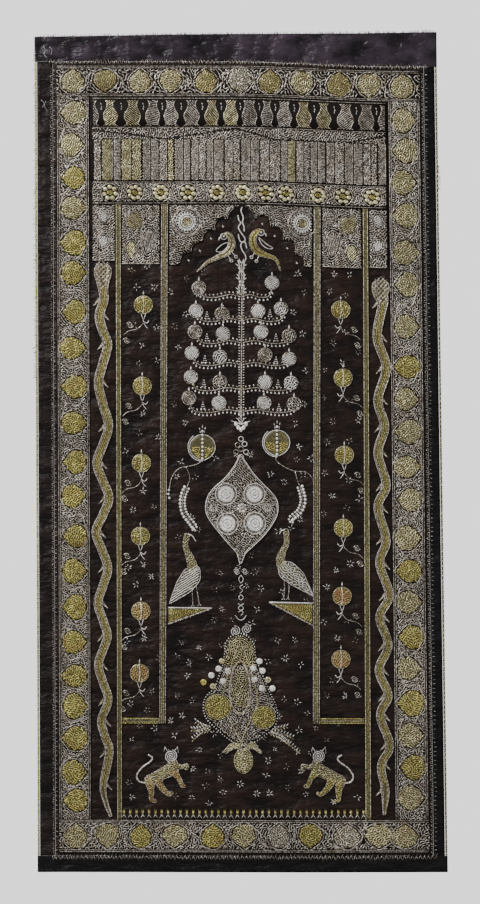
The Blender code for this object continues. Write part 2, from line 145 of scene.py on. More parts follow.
@dataclass(frozen=True)
class Hang:
    """How the cloth hangs: leaning to the right at its foot, dropped at the upper right, and softly rippled."""

    lean_at: tuple[float, ...] = (-480, -350, -281, -172, 0, 178, 286, 350, 480)
    lean_by: tuple[float, ...] = (8, 6, 5, -8, 3, -4, 9, 21, 27)
    top_at: tuple[float, ...] = (-480, -300, -140, 0, 250, 452)
    top_by: tuple[float, ...] = (7, 4, 1, 0, -1, -4)
    tilt: float = 12.0

    def lean(self, x: np.ndarray) -> np.ndarray:
        """How far a line of x leans to the right by the hem."""
        return np.interp(x, self.lean_at, self.lean_by)

    def drop(self, x: np.ndarray, depth: np.ndarray) -> np.ndarray:
        """How far the upper right of the work is pulled down."""
        return self.tilt * smooth(x, -20, 360) * smooth(depth, 0, 70) * (1 - smooth(depth, 600, 1100))

    def swing(self, x: np.ndarray, depth: np.ndarray) -> np.ndarray:
        """How far the cloth swings forward."""
        across = 3.4 * np.sin(2 * np.pi * (x + 90) / 1080)
        down = 2.6 * np.sin(2 * np.pi * (depth - 250) / 1290 + 0.002 * x)
        return smooth(depth, 62, 700) * (across + down + 4.0)

    def room(self, points: np.ndarray, hung: bool) -> np.ndarray:
        """Points in the room in metres.

        Args:
            points: Rows of x, depth and lift.
            hung: Whether the places are as seen from the front, or as cut.

        Returns:
            Rows of X, Y and Z.
        """
        x, depth, lift = points.T
        cut_x, cut_depth = x, depth
        if hung:
            for _ in range(3):
                cut_x = x - self.lean(cut_x) * cut_depth / LENGTH
                cut_depth = depth - self.drop(cut_x, cut_depth)
        else:
            x = cut_x + self.lean(cut_x) * cut_depth / LENGTH
            depth = cut_depth + self.drop(cut_x, cut_depth)
        return np.column_stack((x, -(lift + self.swing(cut_x, cut_depth)), -depth)) * MM

    def cut(self, places: Places) -> Places:
        """Cut places of hung ones."""
        x, depth = np.asarray(places, dtype=float).T
        cut_x, cut_depth = x, depth
        for _ in range(3):
            cut_x = x - self.lean(cut_x) * cut_depth / LENGTH
            cut_depth = depth - self.drop(cut_x, cut_depth)
        return np.column_stack((cut_x, cut_depth))


HANG = Hang()


@dataclass(frozen=True)
class Round:
    """A rounded shape given by its reach from its centre, with an optional point."""

    x: float
    depth: float
    across: float
    down: float
    tip: float = 0.0
    turn: float = 0.0
    sharp: float = 0.34
    scallop: float = 0.0
    scallops: int = 9

    def reach(self, angle: np.ndarray) -> np.ndarray:
        """How far the outline lies from the centre in a direction; 0 is right and a quarter turn is down."""
        plain = 1.0 / np.sqrt((np.cos(angle) / self.across) ** 2 + (np.sin(angle) / self.down) ** 2)
        off = np.angle(np.exp(1j * (angle - math.radians(self.turn))))
        edge = self.scallop * np.cos(self.scallops * off)
        return plain * (1 + edge + self.tip * np.exp(-np.abs(off / self.sharp) ** 1.4))

    def ratio(self, x: np.ndarray, depth: np.ndarray) -> np.ndarray:
        """Distance from the centre as a share of the reach: below 1 inside, above 1 outside."""
        angle = np.arctan2(depth - self.depth, x - self.x)
        return np.hypot(x - self.x, depth - self.depth) / self.reach(angle)

    def gap(self, x: np.ndarray, depth: np.ndarray) -> np.ndarray:
        """Rough distance outside the outline in millimetres, negative inside."""
        return (self.ratio(x, depth) - 1) * 0.5 * (self.across + self.down)

    def outline(self, count: int = 28, scale: float = 1.0) -> Places:
        """Places round the outline, clockwise from the right."""
        angle = np.linspace(0, 2 * np.pi, count, endpoint=False)
        reach = self.reach(angle) * scale
        return np.column_stack((self.x + reach * np.cos(angle), self.depth + reach * np.sin(angle)))

    def dome(self, base: float, height: float) -> Lift:
        """A lift function for the top of a dome on this shape."""
        return lambda x, d: base + height * np.sqrt(np.clip(1 - self.ratio(x, d) ** 2, 0, 1))


def wheel(count: int, turn: float = 0.0) -> Places:
    """Unit steps in evenly spaced directions."""
    angle = np.linspace(0, 2 * np.pi, count, endpoint=False) + turn
    return np.column_stack((np.cos(angle), np.sin(angle)))


def tangents(path: Places) -> tuple[Places, Places]:
    """Unit steps along a path, and to its side."""
    along = np.gradient(path, axis=0)
    along /= np.linalg.norm(along, axis=1, keepdims=True)
    return along, np.column_stack((-along[:, 1], along[:, 0]))


def around(x: float, depth: float, reach: float) -> tuple[float, float, float, float]:
    """Left, right, top and bottom of a square round a place."""
    return x - reach, x + reach, depth - reach, depth + reach


def level_with(x: float | np.ndarray, depths: np.ndarray) -> Places:
    """Places at each depth, at one x or one for each."""
    return np.column_stack((np.broadcast_to(x, np.shape(depths)), depths))


class Contour:
    """A closed outline that is reached once in each direction from its middle."""

    def __init__(self, places: Places, step: float, centre: Places | None = None) -> None:
        """Draws the outline.

        Args:
            places: Places that it passes through.
            step: The distance between its corners.
            centre: Its middle, if that isn't the mean of its corners.
        """
        edge = curve(places, step, closed=True)
        self.centre = edge.mean(axis=0) if centre is None else centre
        angle = np.arctan2(edge[:, 1] - self.centre[1], edge[:, 0] - self.centre[0])
        order = np.argsort(angle)
        self.angle, self.reach = angle[order], np.linalg.norm(edge - self.centre, axis=1)[order]
        self.ring = self.centre + self.reach[:,
                                             None] * np.column_stack((np.cos(self.angle),
                                                                      np.sin(self.angle)))

    def inside(self, shrink: float) -> Field:
        """Says which places lie further than a margin inside the outline."""

        def test(x: np.ndarray, d: np.ndarray) -> np.ndarray:
            """Whether places lie inside."""
            x0, d0 = self.centre
            edge = np.interp(np.arctan2(d - d0, x - x0), self.angle, self.reach, period=2 * np.pi)
            return np.hypot(x - x0, d - d0) < edge - shrink

        return test


def meander(seed: int, spacing: float, waves: int = 14) -> Field:
    """A field whose zero lines wander like vermicelli.

    Args:
        seed: Fixes the pattern.
        spacing: The usual distance between neighbouring lines.
        waves: How many plane waves are summed.

    Returns:
        The field as a function of x and depth.
    """
    rng = np.random.default_rng(seed)
    angle = rng.uniform(0, 2 * np.pi, waves)
    pace = np.pi / spacing * rng.uniform(0.8, 1.1, waves)
    phase = rng.uniform(0, 2 * np.pi, waves)

    def value(x: np.ndarray, depth: np.ndarray) -> np.ndarray:
        """The field at places."""
        total = np.zeros_like(x)
        for a, k, p in zip(angle, pace, phase):
            total += np.sin(k * (math.cos(a) * x + math.sin(a) * depth) + p)
        return total / math.sqrt(waves / 2)

    return value


def rows(angle: float, spacing: float, waver: float = 0.0) -> Field:
    """A field whose zero lines are parallel, at an angle in degrees from level."""
    a = math.radians(angle)
    return lambda x, d: np.sin(
        np.pi * (d * math.cos(a) - x * math.sin(a)) / spacing + waver * np.sin(0.21 * x) * np.cos(0.17 * d)
    )


def coil(x0: float, depth0: float, spacing: float) -> Field:
    """A field whose zero line is a flat coil round a centre."""
    return lambda x, d: np.sin(np.pi * np.hypot(x - x0, d - depth0) / spacing + np.arctan2(d - depth0,
                                                                                           x - x0))


def echo(plain: Field, shapes: Sequence[Round], spacing: float, depth_of: float = 1.7) -> Field:
    """A field that runs parallel to the outlines of shapes near them, and as it was elsewhere."""

    def value(x: np.ndarray, d: np.ndarray) -> np.ndarray:
        """The field at places."""
        gap = np.min([shape.gap(x, d) for shape in shapes], axis=0)
        near = np.exp(-((gap / (depth_of * spacing)) ** 2))
        return (1 - near) * plain(x, d) + near * np.sin(np.pi * gap / spacing + 0.5 * np.pi)

    return value


@dataclass(frozen=True)
class Figure:
    """A padded figure made of tapered limbs, each a line of hung places with a half width at each."""

    limbs: tuple[tuple[np.ndarray, np.ndarray], ...]

    @classmethod
    def of(cls, *limbs: tuple[Places, Sequence[float]]) -> Figure:
        """A figure whose limbs are smooth lines through a few places."""
        made = []
        for places, halves in limbs:
            given = np.asarray(places, dtype=float)
            line = curve(given, 2.5)
            run = np.concatenate(([0.0], np.cumsum(np.linalg.norm(np.diff(given, axis=0), axis=1))))
            made.append((line, np.interp(np.linspace(0, run[-1], len(line)), run, halves)))
        return cls(tuple(made))

    def ratio(self, x: np.ndarray, depth: np.ndarray) -> np.ndarray:
        """Distance from the nearest limb's middle as a share of its half width."""
        best = np.full(np.shape(x), 9.0)
        for line, half in self.limbs:
            for (a, b), reach in zip(line, half):
                best = np.minimum(best, np.hypot(x - a, depth - b) / reach)
        return best

    def box(self) -> tuple[float, float, float, float]:
        """Left, right, top and bottom of the figure, with a little room."""
        low = np.min([np.min(line - half[:, None], axis=0) for line, half in self.limbs], axis=0) - 3
        high = np.max([np.max(line + half[:, None], axis=0) for line, half in self.limbs], axis=0) + 3
        return low[0], high[0], low[1], high[1]


RIDGE = ((0.5, 0.0), (0.0, 1.0), (-0.5, 0.0))
ROUNDED = ((0.5, 0.0), (0.38, 0.66), (0.0, 1.0), (-0.38, 0.66), (-0.5, 0.0))


class Work:
    """Needlework gathered as arrays of places and lifts, and then made one mesh."""

    def __init__(self, hung: bool = False) -> None:
        """Starts an empty piece.

        Args:
            hung: Whether its places are as seen from the front, or as cut.
        """
        self.hung = hung
        self.points: list[np.ndarray] = []
        self.faces: list[tuple[np.ndarray, Finish]] = []
        self.count = 0

    def add(self, points: np.ndarray, faces: Sequence[np.ndarray], finish: Finish) -> None:
        """Adds points and faces, whose corners count from the first of these points."""
        self.points.append(points)
        for some in faces:
            if len(some):
                self.faces.append((np.asarray(some) + self.count, finish))
        self.count += len(points)

    @staticmethod
    def lift(base: Lift, x: np.ndarray, depth: np.ndarray) -> np.ndarray:
        """The lift at places, from a number or a function."""
        return base(x, depth) if callable(base) else np.full(np.shape(x), float(base))

    def cord(
        self, path: Places, width: float | np.ndarray, height: float, base: Lift, finish: Finish,
        closed: bool = False, profile: Sequence[tuple[float, float]] = RIDGE,
    ) -> None:
        """A raised cord along a path.

        Args:
            path: Places along it.
            width: Its width, one number or one for each place.
            height: How far it stands up.
            base: The lift of what it lies on.
            finish: Its finish.
            closed: Whether it joins its own start.
            profile: Its section as shares of width and height.
        """
        path = np.asarray(path, dtype=float)
        if closed:
            along = np.roll(path, -1, 0) - np.roll(path, 1, 0)
        else:
            along = np.gradient(path, axis=0)
        along /= np.maximum(np.linalg.norm(along, axis=1, keepdims=True), 1e-9)
        side = np.column_stack((-along[:, 1], along[:, 0]))
        width = np.broadcast_to(np.asarray(width, dtype=float), (len(path),))
        lift = self.lift(base, path[:, 0], path[:, 1])
        k = len(profile)
        rings = np.empty((len(path), k, 3))
        for j, (share, rise) in enumerate(profile):
            rings[:, j, :2] = path + side * (width * share)[:, None]
            rings[:, j, 2] = lift + rise * height * np.minimum(1.0, width / np.max(width) + 0.25)
        n = len(path)
        first = np.arange(n if closed else n - 1)
        after = (first + 1) % n
        quads = [
            np.column_stack((first * k + j, after * k + j, after * k + (j + 1) % k, first * k + (j + 1) % k))
            for j in range(k)
        ]
        faces = [np.vstack(quads)]
        if not closed:
            start = [[0, j, j + 1] for j in range(1, k - 1)]
            end = [[(n - 1) * k, (n - 1) * k + j + 1, (n - 1) * k + j] for j in range(1, k - 1)]
            faces.append(np.array(start + end))
        self.add(rings.reshape(-1, 3), faces, finish)

    def stitches(self, starts: Places, ends: Places, width: float, height: float, base: Lift,
                 finish: Finish) -> None:
        """Short straight stitches, each highest in its middle."""
        a, b = np.atleast_2d(starts).astype(float), np.atleast_2d(ends).astype(float)
        along = b - a
        along /= np.maximum(np.linalg.norm(along, axis=1, keepdims=True), 1e-9)
        side = np.column_stack((-along[:, 1], along[:, 0])) * width / 2
        middle = (a + b) / 2
        flat = np.stack((a, middle + side, b, middle - side, middle), axis=1)
        lift = self.lift(base, flat[..., 0], flat[..., 1])
        lift[:, 4] += height
        points = np.concatenate((flat, lift[..., None]), axis=2).reshape(-1, 3)
        at = (np.arange(len(a)) * 5)[:, None]
        tris = np.vstack([at + np.array(t) for t in ((0, 1, 4), (1, 2, 4), (2, 3, 4), (3, 0, 4))])
        self.add(points, [tris, at + np.array((0, 3, 2, 1))], finish)

    def beads(self, centres: Places, radius: float, height: float, base: Lift, finish: Finish,
              sides: int = 6) -> None:
        """Small round beads or knots."""
        centres = np.atleast_2d(centres).astype(float)
        angle = np.linspace(0, 2 * np.pi, sides, endpoint=False)
        lift = self.lift(base, centres[:, 0], centres[:, 1])
        tiers = []
        for scale, rise in ((1.0, 0.0), (0.72, 0.75)):
            x = centres[:, :1] + radius * scale * np.cos(angle)
            depth = centres[:, 1:] + radius * scale * np.sin(angle)
            tiers.append(np.stack((x, depth, np.broadcast_to((lift + rise * height)[:, None], x.shape)),
                                  axis=2))
        top = np.column_stack((centres, lift + height))[:, None, :]
        points = np.concatenate((*tiers, top), axis=1).reshape(-1, 3)
        size = 2 * sides + 1
        at = (np.arange(len(centres)) * size)[:, None]
        i = np.arange(sides)
        j = (i + 1) % sides
        quads = np.column_stack((j, i, i + sides, j + sides))
        caps = np.column_stack((np.full(sides, 2 * sides), j + sides, i + sides))
        self.add(
            points,
            [
                (at[:, :, None] + quads[None]).reshape(-1, 4),
                (at[:, :, None] + caps[None]).reshape(-1, 3),
                at + np.arange(sides)[None],
            ],
            finish,
        )

    def mound(self, outline: Places, base: float, height: float, finish: Finish, rounded: bool = True,
              tiers: int = 4) -> None:
        """A raised form on an outline that runs clockwise as seen from the front, round its own middle.

        Args:
            outline: Places round it.
            base: The lift of what it lies on.
            height: How far it stands up.
            finish: Its finish.
            rounded: Whether its face is domed, or flat.
            tiers: How many rings its face has.
        """
        flat = np.asarray(outline, dtype=float)
        centre, n = flat.mean(axis=0), len(flat)
        scales = (np.cos(np.linspace(0, np.pi / 2, tiers + 1)) if rounded else np.linspace(1, 0,
                                                                                           tiers + 1))[:-1]
        rises = np.sqrt(1 - scales**2) if rounded else np.ones(tiers)
        levels = [(s, 0.0) for s in scales[:0:-1]] + [(1.0, 0.0)]
        levels += [(s, r) for s, r in zip(scales, rises) if r > 0]
        rings = [np.column_stack((centre + (flat - centre) * s, np.full(n, base + height * r))) for s,
                 r in levels]
        points = np.vstack((*rings, [[*centre, base], [*centre, base + height]]))
        i = np.arange(n)
        j = (i + 1) % n
        quads = [np.column_stack((j + t * n, i + t * n, i + t * n + n,
                                  j + t * n + n)) for t in range(len(levels) - 1)]
        last = (len(levels) - 1) * n
        under = np.column_stack((np.full(n, last + n), i, j))
        top = np.column_stack((np.full(n, last + n + 1), j + last, i + last))
        self.add(points, [np.vstack(quads), np.vstack((under, top))], finish)

    def dome(self, shape: Round, base: float, height: float, finish: Finish, sides: int = 28,
             tiers: int = 4) -> None:
        """A padded form on a rounded shape."""
        self.mound(shape.outline(sides), base, height, finish, True, tiers)

    def maze(
        self, box: Sequence[float], plan: Field, inside: Field, base: Lift, finish: Finish,
        cell: float = 2.1, width: float = 2.5, height: float = 1.1,
    ) -> None:
        """Couched thread along the zero lines of a field.

        Args:
            box: Left, right, top and bottom of the stretch that is filled.
            plan: The field.
            inside: Says where thread is laid.
            base: The lift of what it lies on.
            finish: Its finish.
            cell: The step at which the lines are followed.
            width: Width of the thread.
            height: How far it stands up.
        """
        xs = np.arange(box[0], box[1] + cell, cell)
        ds = np.arange(box[2], box[3] + cell, cell)
        x, depth = np.meshgrid(xs, ds)
        value = plan(x, depth)
        slope_d, slope_x = np.gradient(value, cell)
        level = value[:, :-1] * value[:, 1:] < 0
        upright = value[:-1, :] * value[1:, :] < 0

        def cross(mask: np.ndarray, near: tuple, far: tuple) -> np.ndarray:
            """Where the lines cross grid edges, with the slope there."""
            v0, v1 = value[near][mask], value[far][mask]
            t = v0 / (v0 - v1)
            return np.column_stack([
                a[near][mask] * (1 - t) + a[far][mask] * t for a in (x, depth, slope_x, slope_d)
            ])

        everything = slice(None)
        head, tail = slice(None, -1), slice(1, None)
        found = np.vstack((
            cross(level, (everything, head), (everything, tail)),
            cross(upright, (head, everything), (tail, everything)),
        ))
        across = np.full(level.shape, -1)
        across[level] = np.arange(level.sum())
        down = np.full(upright.shape, -1)
        down[upright] = level.sum() + np.arange(upright.sum())
        edges = np.stack((across[:-1], down[:, 1:], across[1:], down[:, :-1]), axis=2)
        wanted = inside(x[:-1, :-1] + cell / 2, depth[:-1, :-1] + cell / 2)
        number = (edges >= 0).sum(axis=2)
        pair = edges[(number == 2) & wanted]
        pair = np.take_along_axis(pair, np.argsort(pair < 0, axis=1, kind="stable")[:, :2], axis=1)
        saddle = (number == 4) & wanted
        middle = value[:-1, :-1] + value[1:, :-1] + value[:-1, 1:] + value[1:, 1:]
        same = (middle * value[:-1, :-1] > 0)[saddle]
        four = edges[saddle]
        crossed = np.where(same[:, None], four[:, [0, 1, 2, 3]], four[:, [0, 3, 1, 2]])
        segments = np.vstack((pair, crossed[:, :2], crossed[:, 2:]))
        if not len(segments):
            return
        used, segments = np.unique(segments, return_inverse=True)
        segments = segments.reshape(-1, 2)
        place = found[used, :2]
        slope = found[used, 2:]
        slope /= np.maximum(np.linalg.norm(slope, axis=1, keepdims=True), 1e-9)
        run = place[segments[:, 1]] - place[segments[:, 0]]
        lean = slope[segments[:, 0]] + slope[segments[:, 1]]
        turned = run[:, 0] * lean[:, 1] - run[:, 1] * lean[:, 0] < 0
        segments[turned] = segments[turned][:, ::-1]
        lift = self.lift(base, place[:, 0], place[:, 1])
        rings = np.empty((len(place), 3, 3))
        for j, (share, rise) in enumerate(RIDGE):
            rings[:, j, :2] = place + slope * width * share
            rings[:, j, 2] = lift + rise * height
        a, b = segments[:, 0] * 3, segments[:, 1] * 3
        quads = np.vstack([np.column_stack((a + j, b + j, b + (j + 1) % 3,
                                            a + (j + 1) % 3)) for j in range(3)])
        ends = np.bincount(segments.ravel(), minlength=len(place))
        starting = segments[ends[segments[:, 0]] == 1, 0] * 3
        ending = segments[ends[segments[:, 1]] == 1, 1] * 3
        caps = np.vstack((
            np.column_stack((starting, starting + 1, starting + 2)),
            np.column_stack((ending, ending + 2, ending + 1)),
        ))
        self.add(rings.reshape(-1, 3), [quads, caps], finish)

    def figure(self, figure: Figure, height: float, padding: Finish, plan: Field, cover: Finish,
               rim: Finish | None = None, base: float = LAID) -> None:
        """A padded figure, threaded over and outlined.

        Args:
            figure: Its limbs.
            height: How far it stands up.
            padding: The finish under the threads.
            plan: The field whose zero lines the threads follow.
            cover: The finish of the threads.
            rim: The finish of its outline, if it has one.
            base: The lift of what it lies on.
        """
        for line, half in figure.limbs:
            self.cord(line, 2 * half, height, base, padding, profile=ROUNDED)
        edge = 0.86 if rim else 0.97
        over = lambda x, d: base - 0.2 + height * np.sqrt(np.clip(1 - figure.ratio(x, d) ** 2, 0.05, 1))
        self.maze(figure.box(), plan, lambda x, d: figure.ratio(x, d) < edge, over, cover, 1.7, 2.2, 1.0)
        if rim:
            self.maze(figure.box(), lambda x, d: figure.ratio(x, d) - 0.98, lambda x, d: x == x, base + 0.3,
                      rim,
                      1.7, 1.9, 1.4)

    def piece(self, name: str, slot: str, *nodes: str, fill: float | None = None) -> bpy.types.Object:
        """Makes the piece, lets it ride on the hanging and stand for its solids.

        Args:
            name: The piece's name.
            slot: The record's material slot; not used.
            nodes: The solids that it stands for.
            fill: How firmly it is stuffed, if it is a padded piece; not used.

        Returns:
            The object.
        """
        room = HANG.room(np.vstack(self.points), self.hung)
        kinds = list(dict.fromkeys(finish for _, finish in self.faces))
        starts, corners, index, at = [], [], [], 0
        for some, finish in self.faces:
            count, size = some.shape
            starts.append(at + np.arange(count) * size)
            corners.append(some.ravel())
            index.append(np.full(count, kinds.index(finish)))
            at += some.size
        mesh = bpy.data.meshes.new(name)
        mesh.vertices.add(len(room))
        mesh.vertices.foreach_set("co", room.astype(np.float32).ravel())
        mesh.loops.add(at)
        mesh.loops.foreach_set("vertex_index", np.concatenate(corners).astype(np.int32))
        total = sum(len(s) for s in starts)
        mesh.polygons.add(total)
        mesh.polygons.foreach_set("loop_start", np.concatenate(starts).astype(np.int32))
        mesh.polygons.foreach_set("material_index", np.concatenate(index).astype(np.int32))
        for kind in kinds:
            mesh.materials.append(Wardrobe.get(kind))
        mesh.update(calc_edges=True)
        mesh.validate()
        made = bpy.data.objects.new(name, mesh)
        bpy.context.scene.collection.objects.link(made)
        return settle(made, slot, *nodes)


def settle(made: bpy.types.Object, slot: str, *nodes: str) -> bpy.types.Object:
    """Lets a piece ride on the hanging and stand for solids, and reports it."""
    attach(made, "root")
    if nodes:
        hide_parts(*nodes)
    triangles = sum(len(p.vertices) - 2 for p in made.data.polygons)
    LOG.info("%s: %d triangles", made.name, triangles)
    return made


@dataclass(frozen=True)
class Cloth:
    """A plain sheet of cloth over a box of places."""

    name: str
    left: float
    right: float
    top: float
    bottom: float
    finish: Finish
    slot: str
    node: str
    step: float = 8.0
    thickness: float = CLOTH_FRONT

    def pucker(self, x: np.ndarray, depth: np.ndarray) -> np.ndarray:
        """How far small creases press the face back."""
        fine = np.sin(depth * 0.43 + 2.1 * np.sin(x * 0.023) + 1.7 * np.sin(x * 0.061 + depth * 0.013))
        broad = np.sin(depth * 0.13 + 1.9 * np.sin(x * 0.017 + 1.3) + 0.02 * x)
        patch = 0.5 + 0.5 * np.sin(x * 0.019 + 0.7) * np.sin(depth * 0.011 + 0.4 * np.sin(x * 0.01))
        return 0.28 * (1 - fine) * patch + 0.22 * (1 - broad)

    def build(self, front: Lift | None = None, top_edge: Field | None = None) -> bpy.types.Object:
        """Models the sheet.

        Args:
            front: The lift of its face, if it isn't plain.
            top_edge: How far each depth is moved, if the sheet isn't straight.

        Returns:
            The sheet's object.
        """
        bpy.ops.object.select_all(action="DESELECT")
        across = max(1, round((self.right - self.left) / self.step))
        down = max(1, round((self.bottom - self.top) / self.step))
        bpy.ops.mesh.primitive_grid_add(x_subdivisions=across, y_subdivisions=down, size=1.0)
        made = bpy.context.object
        made.name = made.data.name = self.name
        mesh = made.data
        flat = np.empty(len(mesh.vertices) * 3, dtype=np.float32)
        mesh.vertices.foreach_get("co", flat)
        flat = flat.reshape(-1, 3).astype(float)
        x = self.left + (flat[:, 0] + 0.5) * (self.right - self.left)
        depth = self.top + (0.5 - flat[:, 1]) * (self.bottom - self.top)
        lift = Work.lift(self.thickness if front is None else front, x, depth) - self.pucker(x, depth)
        moved = depth if top_edge is None else depth + top_edge(x, depth)
        room = HANG.room(np.column_stack((x, moved, lift)), False)
        mesh.vertices.foreach_set("co", room.astype(np.float32).ravel())
        uv = mesh.uv_layers.active or mesh.uv_layers.new(name="cloth")
        corner = np.empty(len(mesh.loops), dtype=np.int32)
        mesh.loops.foreach_get("vertex_index", corner)
        uv.data.foreach_set("uv", (np.column_stack((x, -depth))[corner] * MM).astype(np.float32).ravel())
        solid = made.modifiers.new("thickness", "SOLIDIFY")
        solid.thickness = self.thickness * MM
        solid.offset = -1.0
        bpy.ops.object.modifier_apply(modifier=solid.name)
        bpy.ops.object.shade_smooth()
        mesh.materials.append(Wardrobe.get(self.finish))
        settle(made, self.slot, self.node)
        return made


class Nodes:
    """A short way to lay out shader nodes."""

    def __init__(self, tree: bpy.types.NodeTree) -> None:
        """Starts with an empty tree."""
        self.tree = tree
        tree.nodes.clear()

    def add(self, kind: str, **values: object) -> bpy.types.Node:
        """Adds a node; a value named like a socket sets that socket, and others set the node."""
        node = self.tree.nodes.new(kind)
        for key, value in values.items():
            socket = key.replace("_", " ")
            if key[0].isupper() and socket in node.inputs:
                self.feed(value, node.inputs[socket])
            else:
                setattr(node, key, value)
        return node

    def feed(self, value: object, socket: bpy.types.NodeSocket) -> None:
        """Links a socket, or sets its value."""
        if isinstance(value, bpy.types.NodeSocket):
            self.tree.links.new(value, socket)
        else:
            socket.default_value = value

    def math(self, operation: str, a: object, b: object = 0.0, c: object = 0.0) -> bpy.types.NodeSocket:
        """The result of a math node."""
        node = self.tree.nodes.new("ShaderNodeMath")
        node.operation = operation
        for value, socket in zip((a, b, c), node.inputs):
            self.feed(value, socket)
        return node.outputs[0]

    def mix(self, share: object, a: object, b: object, blend: str = "MIX") -> bpy.types.NodeSocket:
        """The colour from a mix node."""
        node = self.tree.nodes.new("ShaderNodeMix")
        node.data_type = "RGBA"
        node.blend_type = blend
        for value, socket in zip((share, a, b), (node.inputs[0], node.inputs[6], node.inputs[7])):
            self.feed(value, socket)
        return node.outputs[2]

    def noise(self, vector: object, scale: float, detail: float = 2.0,
              rough: float = 0.5) -> bpy.types.NodeSocket:
        """The value from a noise node."""
        node = self.add("ShaderNodeTexNoise", Vector=vector, Scale=scale, Detail=detail, Roughness=rough)
        return node.outputs[0]

    def ramp(self, value: object, low: float, high: float) -> bpy.types.NodeSocket:
        """A value stretched so that low becomes 0 and high becomes 1."""
        node = self.add("ShaderNodeMapRange", clamp=True)
        for v, socket in zip((value, low, high, 0.0, 1.0), node.inputs):
            self.feed(v, socket)
        return node.outputs[0]


def socket_group(name: str, inputs: Sequence[tuple[str, str, object]],
                 outputs: Sequence[tuple[str, str]]) -> bpy.types.NodeTree:
    """A shader node group with named sockets.

    Args:
        name: Its name.
        inputs: Each input as name, type and first value.
        outputs: Each output as name and type.

    Returns:
        The empty group.
    """
    group = bpy.data.node_groups.new(name, "ShaderNodeTree")
    for label, kind, value in inputs:
        made = group.interface.new_socket(name=label, in_out="INPUT", socket_type=kind)
        if value is not None:
            made.default_value = value
    for label, kind in outputs:
        group.interface.new_socket(name=label, in_out="OUTPUT", socket_type=kind)
    return group


def glint_and_tarnish_group() -> bpy.types.NodeTree:
    """Thread colour in bright and dull speckles, partly random tone from thread to thread and partly painted glints,
    that darkens in patches, with a fine twist in its height.
    """
    colours = [("Light", "NodeSocketColor", None), ("Dull", "NodeSocketColor", None),
               ("Patch", "NodeSocketColor", None)]
    group = socket_group(
        "thread_glint_and_tarnish",
        [("Place", "NodeSocketVector", None), *colours, ("Age", "NodeSocketFloat", 0.4)],
        [("Colour", "NodeSocketColor"), ("Rough", "NodeSocketFloat"), ("Height", "NodeSocketFloat")],
    )
    n = Nodes(group)
    source = n.add("NodeGroupInput").outputs
    place = source["Place"]
    # Bright and dull speckles: partly random tone from thread to thread, partly painted glints; the bright speckles
    # are also glossier.
    strand = n.ramp(n.noise(place, 330.0, 1.0), 0.42, 0.58)
    colour = n.mix(strand, source["Dull"], source["Light"])
    cloud = n.ramp(n.noise(place, 26.0, 3.0, 0.6), 0.5, 0.70)
    colour = n.mix(n.math("MULTIPLY", cloud, source["Age"]), colour, source["Patch"])
    broad = n.ramp(n.noise(place, 5.0, 2.0), 0.3, 0.7)
    shade = n.math("MULTIPLY_ADD", broad, 0.36, 0.78)
    hsv = n.add("ShaderNodeHueSaturation", Value=shade, Color=colour)
    rough = n.math("MULTIPLY_ADD", strand, -0.14, 0.5)
    twist = n.noise(place, 900.0, 0.0)
    out = n.add("NodeGroupOutput")
    for value, socket in zip((hsv.outputs[0], rough, twist), out.inputs):
        n.feed(value, socket)
    return group


def weave_group() -> bpy.types.NodeTree:
    """Fine satin floats with slubs and soft creases that run level, and a painted sheen: soft patches and crease
    ridges are lit brighter in colour.
    """
    group = socket_group(
        "satin_weave",
        [("Place", "NodeSocketVector", None)],
        [("PaintedSheen", "NodeSocketFloat"), ("Height", "NodeSocketFloat")],
    )
    n = Nodes(group)
    place = n.add("NodeGroupInput").outputs["Place"]
    level = n.add("ShaderNodeMapping", Vector=place, Scale=(0.45, 1.0, 1.0)).outputs[0]
    upright = n.add("ShaderNodeMapping", Vector=place, Scale=(1.0, 0.35, 1.0)).outputs[0]
    crease = n.math("MULTIPLY_ADD", n.noise(upright, 17.0, 2.0, 0.5), 0.5, n.noise(level, 30.0, 4.0, 0.55))
    floats = n.noise(n.add("ShaderNodeMapping", Vector=place, Scale=(0.2, 1.0, 1.0)).outputs[0], 900.0, 1.0)
    sheen_patches = n.ramp(n.noise(place, 9.0, 4.0, 0.7), 0.35, 0.75)
    # Painted sheen: soft patches and the crease ridges lift the satin towards its lit colour.
    tone = n.math("ADD", n.math("MULTIPLY", sheen_patches, 0.35),
                  n.math("MULTIPLY", n.ramp(crease, 0.64, 0.90), 0.65))
    height = n.math("MULTIPLY_ADD", floats, 0.02, crease)
    out = n.add("NodeGroupOutput")
    n.feed(tone, out.inputs[0])
    n.feed(height, out.inputs[1])
    return group


@dataclass(frozen=True)
class ThreadFinish:
    """Metal thread, with its colour in bright speckles, which are partly painted glints, in dull speckles and where it
    is tarnished.
    """

    light: tuple[float, float, float]
    dull: tuple[float, float, float]
    patch: tuple[float, float, float]
    age: float = 0.4
    metal: float = 0.7

    def make(self, name: str) -> bpy.types.Material:
        """Builds the material."""
        material = bpy.data.materials.new(name)
        material.use_nodes = True
        n = Nodes(material.node_tree)
        place = n.add("ShaderNodeTexCoord").outputs["Object"]
        tone = n.add("ShaderNodeGroup", node_tree=Wardrobe.group("glint_and_tarnish"), Place=place, Age=self.age)
        for label, colour in (("Light", self.light), ("Dull", self.dull), ("Patch", self.patch)):
            tone.inputs[label].default_value = (*colour, 1.0)
        bump = n.add("ShaderNodeBump", Height=tone.outputs["Height"], Strength=0.4, Distance=0.0005)
        shader = n.add(
            "ShaderNodeBsdfPrincipled", Base_Color=tone.outputs["Colour"], Roughness=tone.outputs["Rough"],
            Metallic=self.metal, Normal=bump.outputs[0],
        )
        n.add("ShaderNodeOutputMaterial", Surface=shader.outputs[0])
        return material


